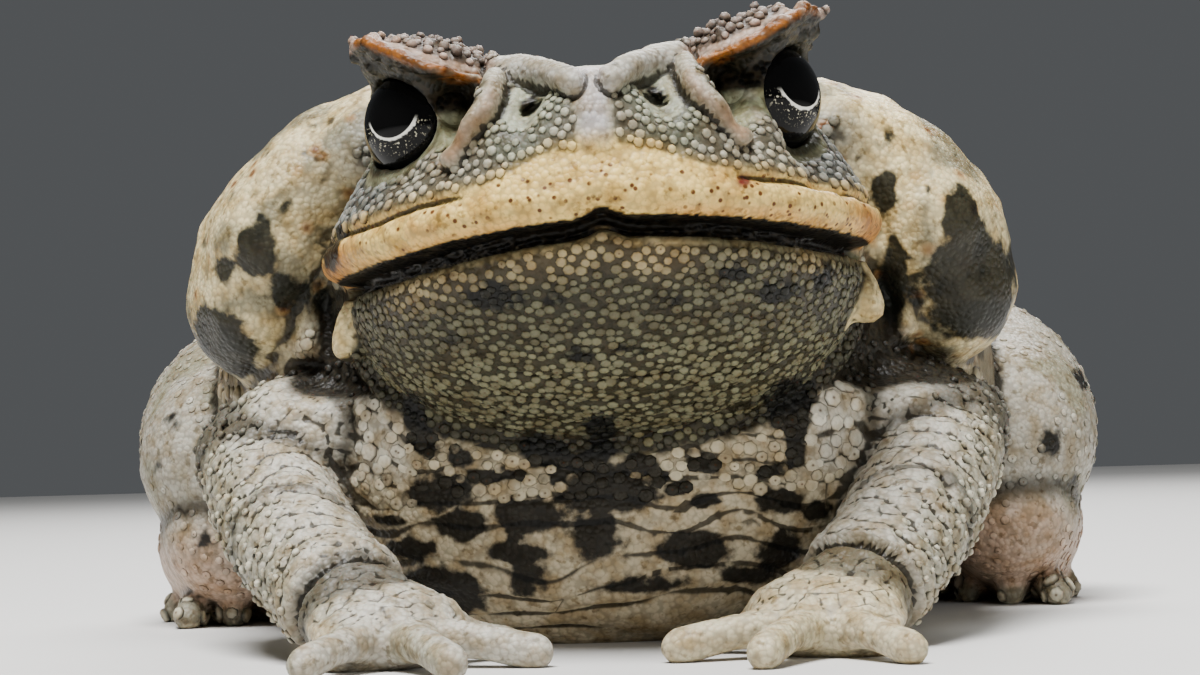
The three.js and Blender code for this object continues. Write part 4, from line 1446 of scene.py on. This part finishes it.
def skin_material(name, beaded=False):
    """Base colour from the skin's tone, mottled, under black blotches with frayed edges. Painted shade
    darkens the skin between the beads, between the fine grains and in its hollows; there are brown dots on
    the lip and orange pores on the glands. Beads carry painted shade at the foot and a faint painted
    highlight at the top, and the tip may be brown. Fine grains are raised by a bump."""
    nodes = Nodes(name)
    tone = nodes.attribute("tone", "Color")
    blotch = nodes.attribute("blotch")
    mottle = nodes.noise(420, 5)
    colour = nodes.mix(nodes.ramp(mottle, 0.38, 0.68), tone, (0.66, 0.58, 0.46), "MULTIPLY")
    grains = nodes.cells(1500)
    if beaded:
        rise = nodes.attribute("rise")
        # Painted shade round each bead's foot, and a faint painted highlight on its top
        colour = nodes.mix(nodes.ramp(rise, 0.0, 0.7, 0.85, 0.0), colour, (0.008, 0.006, 0.003))
        colour = nodes.mix(nodes.ramp(rise, 0.4, 0.95, 0.0, 0.03), colour, (0.85, 0.8, 0.7))
    else:
        # Painted shade on the skin between the granules
        bead_gap_shade = nodes.attribute("bead_gap_shade")
        colour = nodes.mix(bead_gap_shade, colour, (0.008, 0.0065, 0.0035))
        # Painted shade between the fine grains that the bump raises
        gaps = nodes.ramp(grains, 0.4, 0.8)
        colour = nodes.mix(nodes.product(gaps, 0.35), colour, (0.06, 0.045, 0.025))
        # Painted shade in the skin's hollows, by how far each vertex lies below its neighbours
        cavity = nodes.attribute("cavity")
        hollow = nodes.ramp(cavity, 0.02, 0.16)
        colour = nodes.mix(nodes.product(hollow, 0.85), colour, (0.008, 0.006, 0.003))
        lip = nodes.attribute("lip")
        dots = nodes.ramp(nodes.cells(900), 0.3, 0.16)
        some = nodes.ramp(nodes.noise(240, 2), 0.38, 0.5)
        colour = nodes.mix(nodes.product(dots, some, lip), colour, (0.1, 0.035, 0.008))
        gland = nodes.attribute("gland")
        halo = nodes.ramp(nodes.cells(240), 0.32, 0.15)
        pores = nodes.ramp(nodes.cells(240), 0.2, 0.07)
        colour = nodes.mix(nodes.product(halo, gland, 0.35), colour, (0.42, 0.2, 0.05))
        colour = nodes.mix(nodes.product(pores, gland, 0.85), colour, (0.1, 0.03, 0.008))
        speckle = nodes.ramp(nodes.noise(900, 4), 0.56, 0.68, 0.0, 0.7)
        colour = nodes.mix(speckle, colour, (0.4, 0.34, 0.24), "MULTIPLY")
    frayed = nodes.value("ADD", blotch, nodes.product(nodes.noise(600, 5), 0.5))
    black = nodes.ramp(frayed, 0.66, 0.84, 0.0, 0.96)
    dark = (0.006, 0.006, 0.0045)
    if not beaded:
        dark = nodes.mix(gland, (0.003, 0.003, 0.0025), (0.007, 0.008, 0.0055))
    colour = nodes.mix(black, colour, dark)
    if beaded:
        tip = nodes.product(nodes.attribute("tip"), nodes.ramp(rise, 0.88, 1.0, 0.0, 0.9))
        colour = nodes.mix(tip, colour, (0.06, 0.022, 0.006))
    nodes.link(colour, nodes.shader.inputs["Base Color"])
    nodes.shader.inputs["Roughness"].default_value = 0.42
    nodes.shader.inputs["Specular IOR Level"].default_value = 0.2
    nodes.shader.inputs["Subsurface Weight"].default_value = 0.06
    nodes.shader.inputs["Subsurface Scale"].default_value = 0.0015
    raised = nodes.ramp(grains, 0.8, 0.1)
    normal = nodes.bump(raised, 0.00012, 0.7)
    normal = nodes.bump(nodes.noise(2600, 3), 0.00006, 0.6, normal)
    nodes.link(normal, nodes.shader.inputs["Normal"])
    return nodes.material


def eye_material():
    """A black pupil, a bright crescent under it and gold flecks in the lower iris, drawn by the angle from
    the eye's axis, on a smooth glossy surface."""
    nodes = Nodes("toad_eye")
    split = nodes.add("ShaderNodeSeparateXYZ")
    nodes.link(nodes.add("ShaderNodeUVMap", uv_map="iris").outputs[0], split.inputs[0])
    across = nodes.value("SUBTRACT", split.outputs[0], 0.5)
    upward = nodes.value("SUBTRACT", split.outputs[1], 0.5)
    reach = nodes.value("SQRT", nodes.value("ADD", nodes.product(across, across),
                                            nodes.product(upward, upward)))
    below = nodes.ramp(upward, -0.04, -0.09)
    jag = nodes.product(nodes.value("SUBTRACT", nodes.noise(1500, 3), 0.5), 0.035)
    edge = nodes.value("ADD", reach, jag)
    inner = nodes.ramp(reach, 0.156, 0.16)
    outer = nodes.ramp(edge, 0.178, 0.17)
    crescent = nodes.product(inner, outer, below)
    flecks = nodes.ramp(nodes.noise(3800, 4), 0.59, 0.67)
    ring = nodes.product(nodes.ramp(reach, 0.175, 0.185), nodes.ramp(reach, 0.29, 0.2))
    flecks = nodes.product(flecks, ring, below)
    colour = nodes.mix(flecks, (0.003, 0.003, 0.003), (0.62, 0.58, 0.44))
    colour = nodes.mix(crescent, colour, (0.95, 0.93, 0.84))
    nodes.link(colour, nodes.shader.inputs["Base Color"])
    nodes.shader.inputs["Roughness"].default_value = 0.06
    nodes.shader.inputs["Specular IOR Level"].default_value = 0.14
    return nodes.material


def plain_material(name, colour, roughness):
    nodes = Nodes(name)
    nodes.shader.inputs["Base Color"].default_value = (*colour, 1)
    nodes.shader.inputs["Roughness"].default_value = roughness
    return nodes.material


# Settings


class ToadSettings(bpy.types.PropertyGroup):
    """The sizes that a user would change."""

    voxel: bpy.props.FloatProperty(
        name="Skin cell", description="Cell of the fused skin, in millimetres", default=0.45,
        min=0.3, max=2.0)
    quick_voxel: bpy.props.FloatProperty(
        name="Quick skin cell", description="Cell of the skin in quick work, in millimetres",
        default=0.9, min=0.3, max=3.0)
    quick_beads: bpy.props.FloatProperty(
        name="Quick granule spacing",
        description="How many times wider the granules stand in quick work",
        default=1.4, min=1.0, max=4.0)
    skin_faces: bpy.props.IntProperty(
        name="Skin faces", description="Most faces that the skin keeps", default=190000)


FLESH_NODES = ["torso", "head", "lower_jaw"] + [
    f"{part}_{name}" for name in SIDES
    for part in ("parotoid", "upper_arm", "forearm", "hand", "thigh", "shin", "foot")]
# A cell's three numbers, each raised above 0 by the offset, fit into this many bits
CELL_BITS = 13
CELL_OFFSET = 2048


def cell_key(x, y, z):
    """One whole number for a cell's three."""
    return (x << 2 * CELL_BITS) + (y << CELL_BITS) + z


def apart_alike(places, near, rng):
    """Numbers of the places kept so that no two are nearer than `near`: one place a small cell,
    then each place that comes first among its neighbours stays and they go, until all are
    decided."""
    order = rng.permutation(len(places))
    cell = np.floor(places[order] / (near / math.sqrt(3))).astype(np.int64) + CELL_OFFSET
    keys, first = np.unique(cell_key(*cell.T), return_index=True)
    chosen = order[first]
    spots = places[chosen]
    pairs = []
    for step in np.ndindex(5, 5, 5):
        offset = cell_key(*(k - 2 for k in step))
        if offset <= 0:
            continue
        found = np.minimum(np.searchsorted(keys, keys + offset), len(keys) - 1)
        a = np.flatnonzero(keys[found] == keys + offset)
        b = found[a]
        close = np.linalg.norm(spots[a] - spots[b], axis=1) < near
        pairs.append(np.stack([a[close], b[close]]))
    a, b = np.concatenate(pairs, axis=1)
    rank = rng.permutation(len(keys))
    state = np.zeros(len(keys), dtype=int)
    while (state == 0).any():
        open_pairs = (state[a] == 0) & (state[b] == 0)
        a, b = a[open_pairs], b[open_pairs]
        lowest = np.full(len(keys), len(keys))
        np.minimum.at(lowest, a, rank[b])
        np.minimum.at(lowest, b, rank[a])
        wins = (state == 0) & (rank < lowest)
        state[wins] = 1
        state[b[wins[a]]] = -1
        state[a[wins[b]]] = -1
    return chosen[state == 1]


# The narrowest spacing that still draws places
LEAST_SPACING = 0.05


def scattered(points, faces, normals, spacing, rng):
    """Random places on the faces that stand apart by their own spacing: each face draws places by
    its area, and those of like spacing are thinned together. Faces whose spacing isn't above 0
    draw none."""
    corners = points[faces]
    first, second = corners[:, 1] - corners[:, 0], corners[:, 2] - corners[:, 0]
    area = np.linalg.norm(np.cross(first, second), axis=1) / 2
    step = spacing[faces].min(axis=1)
    wanted = np.where(step > LEAST_SPACING, 4 * area / np.maximum(step, LEAST_SPACING) ** 2, 0)
    chosen = np.repeat(np.arange(len(faces)), rng.poisson(wanted))
    weights = rng.dirichlet((1, 1, 1), len(chosen))
    roots = np.einsum("ij,ijk->ik", weights, corners[chosen])
    leans = np.einsum("ij,ijk->ik", weights, normals[faces[chosen]])
    leans /= np.linalg.norm(leans, axis=1, keepdims=True)
    step = step[chosen]
    level = np.round(np.log2(step) * 4)
    kept = []
    for number in np.unique(level):
        members = np.flatnonzero(level == number)
        kept.append(members[apart_alike(roots[members], 2 ** (number / 4), rng)])
    kept = np.concatenate(kept)
    return roots[kept], leans[kept], step[kept]


BEAD_SIDES = 7
# Rings of a bead from its sunk foot up: share of its radius and share of its height
BEAD_RINGS = [(1.04, -0.35), (1.0, 0.25), (0.72, 0.74)]


def bead_form():
    """A closed dome one wide and one tall: three rings, a top point and a flat foot."""
    around = np.arange(BEAD_SIDES) * 2 * np.pi / BEAD_SIDES
    rings = [np.stack([r * np.cos(around), r * np.sin(around), np.full(BEAD_SIDES, h)], 1)
             for r, h in BEAD_RINGS]
    points = np.vstack([*rings, [(0, 0, 1.0)]])
    first = np.arange(BEAD_SIDES)
    following = (first + 1) % BEAD_SIDES
    faces = []
    for ring in range(len(rings) - 1):
        low, high = ring * BEAD_SIDES, (ring + 1) * BEAD_SIDES
        faces.append(np.stack([low + first, low + following, high + following], 1))
        faces.append(np.stack([low + first, high + following, high + first], 1))
    last = (len(rings) - 1) * BEAD_SIDES
    faces.append(np.stack([last + first, last + following, np.full(BEAD_SIDES, len(points) - 1)], 1))
    faces.append(np.stack([np.zeros(BEAD_SIDES - 2, dtype=int), first[2:], first[1:-1]], 1))
    return points, np.vstack(faces)


def beads(roots, leans, radius, height, stretch, rng):
    """Domes at the roots: each turned about its lean, drawn out along the level direction by its
    stretch, and made uneven."""
    form, faces = bead_form()
    level = np.cross(leans, (0, 0, 1.0))
    level /= np.maximum(np.linalg.norm(level, axis=1, keepdims=True), 1e-6)
    rise = np.cross(leans, level)
    wobble = 1 + 0.16 * (rng.random((len(roots), len(form))) - 0.5)
    across = form[:, 0] * wobble * (radius * stretch)[:, None]
    along = form[:, 1] * wobble * radius[:, None]
    up = form[:, 2] * wobble * height[:, None]
    points = (roots[:, None] + level[:, None] * across[..., None] + rise[:, None] * along[..., None]
              + leans[:, None] * up[..., None]).reshape(-1, 3)
    offsets = np.arange(len(roots))[:, None, None] * len(form)
    rises = np.tile(np.maximum(form[:, 2], 0), len(roots))
    return points, (faces + offsets).reshape(-1, 3), rises, len(form)


# Width of a bead's patch in the UV map
UNWRAP_PATCH = 0.003


def unwrapped(roots, axis_point, axis):
    """Each root's place on a cylinder round an axis, from 0 to 1: the turn round it, and the
    distance along it."""
    axis = np.asarray(axis, dtype=float) / np.linalg.norm(axis)
    offset = roots - axis_point
    along = offset @ axis
    first = np.cross(axis, (0.3, 0.5, 0.8))
    first /= np.linalg.norm(first)
    second = np.cross(axis, first)
    turn = np.arctan2(offset @ second, offset @ first) / (2 * np.pi) + 0.5
    span = np.ptp(along) if len(along) else 1
    return np.stack([turn, (along - along.min()) / max(span, 1e-6)], 1) * 0.98 + 0.01


# Axes that the beads of each piece are unwrapped round: a point and a direction
UNWRAP_AXES = {
    "head": ((0, HEAD_AXIS_Y, 50), (0, 0, 1)),
    "throat": ((0, HEAD_AXIS_Y, 50), (0, 0, 1)),
    "belly": ((0, 0, 26), (0, 1, 0)),
    "back": ((0, 0, 26), (0, 1, 0)),
    "arm_left": ((33, -40, 14), (0.35, 0.75, 0.56)),
    "arm_right": ((-34, -40, 14), (-0.35, 0.75, 0.56)),
    "haunch_left": ((46, 30, 20), (0, 1, 0)),
    "haunch_right": ((-43, 30, 20), (0, 1, 0)),
}
# How much of the skin's brightness the beads keep, and how much painted shade darkens the skin between
# them
BEAD_SHADE = {"head": 0.82, "throat": 0.8, "belly": 0.92}
PAINTED_GAP_SHADE = {"head": 0.7, "throat": 0.85, "belly": 0.2, "back": 0.4, "arm": 0.1, "haunch": 0.0}


def bead_regions(places):
    """For each piece of beads its spacing over the skin, 0 where it has none, and its look: the
    bead's height and width as shares of the spacing, its stretch, and how dark its tip is."""
    x, y, z = places.points.T
    head, folded = places.head, places.folded
    above = places.above_mouth
    upper = places.upper_head
    inner = smooth_step(18.5, 17, folded[:, 0])
    lids = places.from_eye < 8.8 + 1.9 * inner * smooth_step(61.5, 60, folded[:, 2])
    smooth_head = face_distance(folded, HEAD_RIDGES["canthal"][2]) < 1.3
    smooth_head |= face_distance(folded, PREORBITAL_LINE) < 1.5
    smooth_head |= (face_distance(folded, VISOR_RIM) < 1.8) | lids | (places.visor_shade > 0.2)
    smooth_head |= above < 5.2 + 2 * smooth_step(12, 4, folded[:, 0])
    smooth_head |= (folded[:, 0] < 2.0) & (head[:, 1] < -60)
    smooth_head |= (head[:, 2] > 60.6) & (folded[:, 0] < 9.5)
    smooth_head |= face_distance(folded, [(6.2, -65, 59.2), (7.4, -66, 56.4)]) < 1.9
    brow = (head[:, 2] > 62.5) & (folded[:, 0] > 10)
    head_step = np.where(brow, 0.98, 0.88 + 0.2 * smooth_step(14, 22, folded[:, 0]))
    head_step = np.where((upper > 0.5) & ~smooth_head, head_step, 0)
    lobe = places.near("lobe", reach=1.2) > 0.3
    throat_step = np.where((places.jaw > 0.5) & (above < -2.6) & ~lobe, 0.82, 0)
    limbs = places.arm > 0.3
    hind = places.near("thigh", "shin", "sole") > 0.4
    gland = places.near("parotoid", reach=2.0) > 0.35
    by_head = (upper > 0.3) | (places.jaw > 0.3)
    body = ~by_head & ~limbs & ~hind & ~gland & ~lobe & (z > 0.6) & (places.hollow < 0.5)
    front = y < -22
    chest = body & front & (z > 17 + 2 * noise(places.points, 6))
    belly_step = np.where(chest, 1.2 + 0.4 * places.shoulder, 0)
    back_step = np.where(body & ~front, 2.1, 0)
    on_hand = places.near("palm", "finger") > 0.3
    on_arm = limbs & (z > 0.5) & ~gland & ~lobe & ~by_head & ~on_hand
    arm_step = np.where(on_arm & (places.outer_arm > 0.25 + 0.3 * noise(places.points, 3)), 1.3, 0)
    rough = noise(places.points, 6, 1.0) > -0.1
    haunch_step = np.where(hind & ~limbs & ~gland & (z > 3) & rough, 1.6, 0)
    left = x > 0
    return {
        "head": (head_step, 0.36, 0.6, 1.0, 0.0),
        "throat": (throat_step, 0.22, 0.66, 1.12, 0.1),
        "belly": (belly_step, 0.13, 0.6, 1.15, 0.35),
        "back": (back_step, 0.26, 0.5, 1.0, 0.4),
        "arm_left": (arm_step * left, 0.24, 0.38, 1.1, 0.8),
        "arm_right": (arm_step * ~left, 0.24, 0.38, 1.1, 0.8),
        "haunch_left": (haunch_step * left, 0.12, 0.36, 1.05, 0.3),
        "haunch_right": (haunch_step * ~left, 0.12, 0.36, 1.05, 0.3),
    }


# What the skin leaves for the granules
SKIN_STORE = {}


class TOAD_OT_beads(bpy.types.Operator):
    """The granules that stand on the skin, a piece for each part of the body"""

    bl_idname = "toad.beads"
    bl_label = "Granules"

    def execute(self, context):
        points, faces, normals, places, markings = (SKIN_STORE[key] for key in (
            "points", "faces", "normals", "places", "markings"))
        rng = np.random.default_rng(11)
        material = skin_material("toad_beads", beaded=True)
        coarse = 1.0
        for name, (spacing, tall, wide, stretch, tip) in bead_regions(places).items():
            roots, leans, step = scattered(points, faces, normals, spacing * coarse, rng)
            at = Places(roots, leans)
            size = step * (0.75 + 0.4 * rng.random(len(roots)))
            pointed = 1 + 1.1 * at.outer_arm * rng.random(len(roots))
            pointed = pointed + 1.5 * at.brow * rng.random(len(roots))
            bead_points, bead_faces, rise, count = beads(
                roots, leans, size * wide, size * tall * pointed, stretch, rng)
            obj = new_object(f"toad_beads_{name}", within_solids(to_frame(floor_flat(bead_points))),
                             bead_faces)
            shade_smooth(obj)
            tone = skin_tone(at) * (0.75 + 0.4 * rng.random((len(roots), 1))) * BEAD_SHADE.get(name, 1.0)
            add_attribute(obj, "tone", np.repeat(np.clip(tone * 1.1, 0, 0.9), count, axis=0))
            add_attribute(obj, "blotch", np.repeat(markings.at(at), count))
            add_attribute(obj, "rise", rise)
            tips = (rng.random(len(roots)) < tip).astype(float)
            add_attribute(obj, "tip", np.repeat(tips, count))
            uv = unwrapped(roots, *UNWRAP_AXES[name])
            form, _ = bead_form()
            patch = np.tile(form[:, :2], (len(roots), 1)) * UNWRAP_PATCH / 2
            corner = np.repeat(uv, count, axis=0) + patch
            layer = obj.data.uv_layers.new(name="OFBake")
            layer.data.foreach_set("uv", corner[bead_faces.ravel()].astype(np.float32).ravel())
            obj.data.materials.append(material)
            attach(obj, "root")
            print(name, len(roots), "granules", len(bead_faces), "faces")
        return {"FINISHED"}


class TOAD_OT_skin(bpy.types.Operator):
    """One skin over all the flesh"""

    bl_idname = "toad.skin"
    bl_label = "Skin"

    def execute(self, context):
        settings = context.scene.toad
        voxel = settings.voxel
        points, faces = skin_mesh(voxel)
        places = Places(points, normals_of(points, faces))
        detail = np.maximum.reduce([places.upper_head, 0.7 * places.jaw,
                                    0.8 * places.near("toe", "finger"), 0.6 * places.arm,
                                    0.45 * places.near("thigh", "shin"), 0.45 * (points[:, 1] < -10)])
        points, faces = thinned(points, faces, detail, settings.skin_faces)
        points = floor_flat(points)
        edges = edges_of(faces)
        normals = normals_of(points, faces)
        places = Places(points, normals)
        skin = new_object("toad_skin", within_solids(to_frame(points)), faces)
        shade_smooth(skin)
        markings = Markings(points, faces)
        add_attribute(skin, "tone", skin_tone(places))
        add_attribute(skin, "blotch", markings.at(places))
        # The cavity, where the material paints shade in the skin's hollows
        add_attribute(skin, "cavity", cavity_of(points, edges, normals))
        # Painted shade between the granules, as much as each piece takes
        bead_gap_shade = np.zeros(len(points))
        for region, (spacing, *_) in bead_regions(places).items():
            bead_gap_shade = np.where(spacing > 0, PAINTED_GAP_SHADE[region.split("_")[0]], bead_gap_shade)
        add_attribute(skin, "bead_gap_shade", bead_gap_shade)
        above = places.above_mouth
        lip = places.upper_head * smooth_step(5.4, 4.6, above) * smooth_step(0, 0.6, above)
        add_attribute(skin, "lip", lip)
        add_attribute(skin, "gland", places.near("parotoid", reach=2.0))
        skin.data.materials.append(skin_material("toad_skin"))
        SKIN_STORE.update(points=points, faces=faces, normals=normals, places=places, markings=markings)
        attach(skin, "root")
        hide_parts(*FLESH_NODES)
        return {"FINISHED"}


# Where each eye looks: outwards from straight ahead, and up, in degrees
GAZE = {"left": (43, 14), "right": (31, 14)}


class TOAD_OT_eyes(bpy.types.Operator):
    """The two eyeballs"""

    bl_idname = "toad.eyes"
    bl_label = "Eyes"

    def execute(self, context):
        material = eye_material()
        for name, side in SIDES.items():
            centre = eye_centre(side)
            points, faces = ellipsoid(centre, (EYE_RADIUS,) * 3, 128, 64)
            outwards, upwards = (math.radians(angle) for angle in GAZE[name])
            axis = np.array([side * math.sin(outwards) * math.cos(upwards),
                             -math.cos(outwards) * math.cos(upwards), math.sin(upwards)])
            across = np.cross(axis, (0, 0, 1))
            across /= np.linalg.norm(across)
            up = np.cross(across, axis)
            directions = (points - centre) / EYE_RADIUS
            angle = np.arccos(np.clip(directions @ axis, -1, 1))
            flat = np.stack([directions @ across, directions @ up], -1)
            flat /= np.maximum(np.linalg.norm(flat, axis=1, keepdims=True), 1e-9)
            uv = 0.5 + flat * (angle / math.pi)[:, None]
            eye = new_object(f"toad_eye_{name}", to_frame(rolled(points)), faces)
            shade_smooth(eye)
            layer = eye.data.uv_layers.new(name="iris")
            layer.data.foreach_set("uv", uv[faces.ravel()].astype(np.float32).ravel())
            eye.data.materials.append(material)
            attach(eye, "root")
            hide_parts(f"eye_{name}")
        return {"FINISHED"}


# Stage: half the floor's width in metres, its colour, the sky's colour and strength, and the
# lights, each with its place, size and power, and whether it shows in gloss
FLOOR_HALF = 1.5
FLOOR_COLOUR = (0.62, 0.61, 0.59)
SKY_COLOUR = (0.8, 0.84, 0.88, 1)
SKY_STRENGTH = 0.11
LIGHTS = {
    "key": ((-0.12, -0.3, 0.9), 0.5, 25, True),
    "fill": ((0.45, -0.75, 0.25), 0.5, 2.4, False),
    "rim": ((0.1, 0.6, 0.6), 0.6, 7, True),
}


class TOAD_OT_stage(bpy.types.Operator):
    """A plain pale floor, soft lights and the camera at the picture's angle"""

    bl_idname = "toad.stage"
    bl_label = "Stage"

    def execute(self, context):
        scene = context.scene
        corners = np.array([(-1, -1, 0), (1, -1, 0), (1, 1, 0), (-1, 1, 0)]) * FLOOR_HALF
        floor = new_object("stage_floor", corners, np.array([(0, 1, 2), (0, 2, 3)]))
        floor.data.materials.append(plain_material("stage_floor", FLOOR_COLOUR, 0.7))
        world = bpy.data.worlds.new("stage_world")
        world.use_nodes = True
        background = world.node_tree.nodes["Background"]
        background.inputs["Color"].default_value = SKY_COLOUR
        background.inputs["Strength"].default_value = SKY_STRENGTH
        scene.world = world
        for name, settings in LIGHTS.items():
            self.add_light(name, *settings)
        camera = bpy.data.cameras.new("camera")
        camera.sensor_width = SENSOR_WIDTH
        camera.lens = FOCAL_PIXELS * SENSOR_WIDTH / PHOTO_WIDTH
        camera.clip_start = 0.01
        obj = bpy.data.objects.new("camera", camera)
        scene.collection.objects.link(obj)
        right, up, ahead = camera_axes()
        turn = Matrix((right, up, -ahead)).transposed().to_4x4()
        obj.matrix_world = Matrix.Translation(to_frame([CAMERA_PLACE])[0]) @ turn
        scene.camera = obj
        return {"FINISHED"}

    def add_light(self, name, place, size, power, seen_in_gloss):
        light = bpy.data.lights.new(name, "AREA")
        light.shape = "DISK"
        light.size = size
        light.energy = power
        obj = bpy.data.objects.new(name, light)
        obj.location = place
        obj.rotation_euler = (-Vector(place)).to_track_quat("-Z", "Y").to_euler()
        obj.visible_glossy = seen_in_gloss
        bpy.context.scene.collection.objects.link(obj)


OPERATORS = (TOAD_OT_skin, TOAD_OT_beads, TOAD_OT_eyes, TOAD_OT_stage)


class TOAD_PT_panel(bpy.types.Panel):
    """Lists the pieces of the toad"""

    bl_label = "Toad"
    bl_idname = "TOAD_PT_panel"
    bl_space_type = "VIEW_3D"
    bl_region_type = "UI"
    bl_category = "Toad"

    def draw(self, context):
        for name in ToadSettings.__annotations__:
            self.layout.prop(context.scene.toad, name)
        for operator in OPERATORS:
            self.layout.operator(operator.bl_idname)


CLASSES = (ToadSettings, *OPERATORS, TOAD_PT_panel)


def register():
    for cls in CLASSES:
        bpy.utils.register_class(cls)
    bpy.types.Scene.toad = bpy.props.PointerProperty(type=ToadSettings)


def unregister():
    del bpy.types.Scene.toad
    for cls in reversed(CLASSES):
        bpy.utils.unregister_class(cls)


def main():
    register()
    bpy.ops.toad.skin()
    bpy.ops.toad.beads()
    bpy.ops.toad.eyes()
    bpy.ops.toad.stage()


if __name__ == "__main__":
    main()
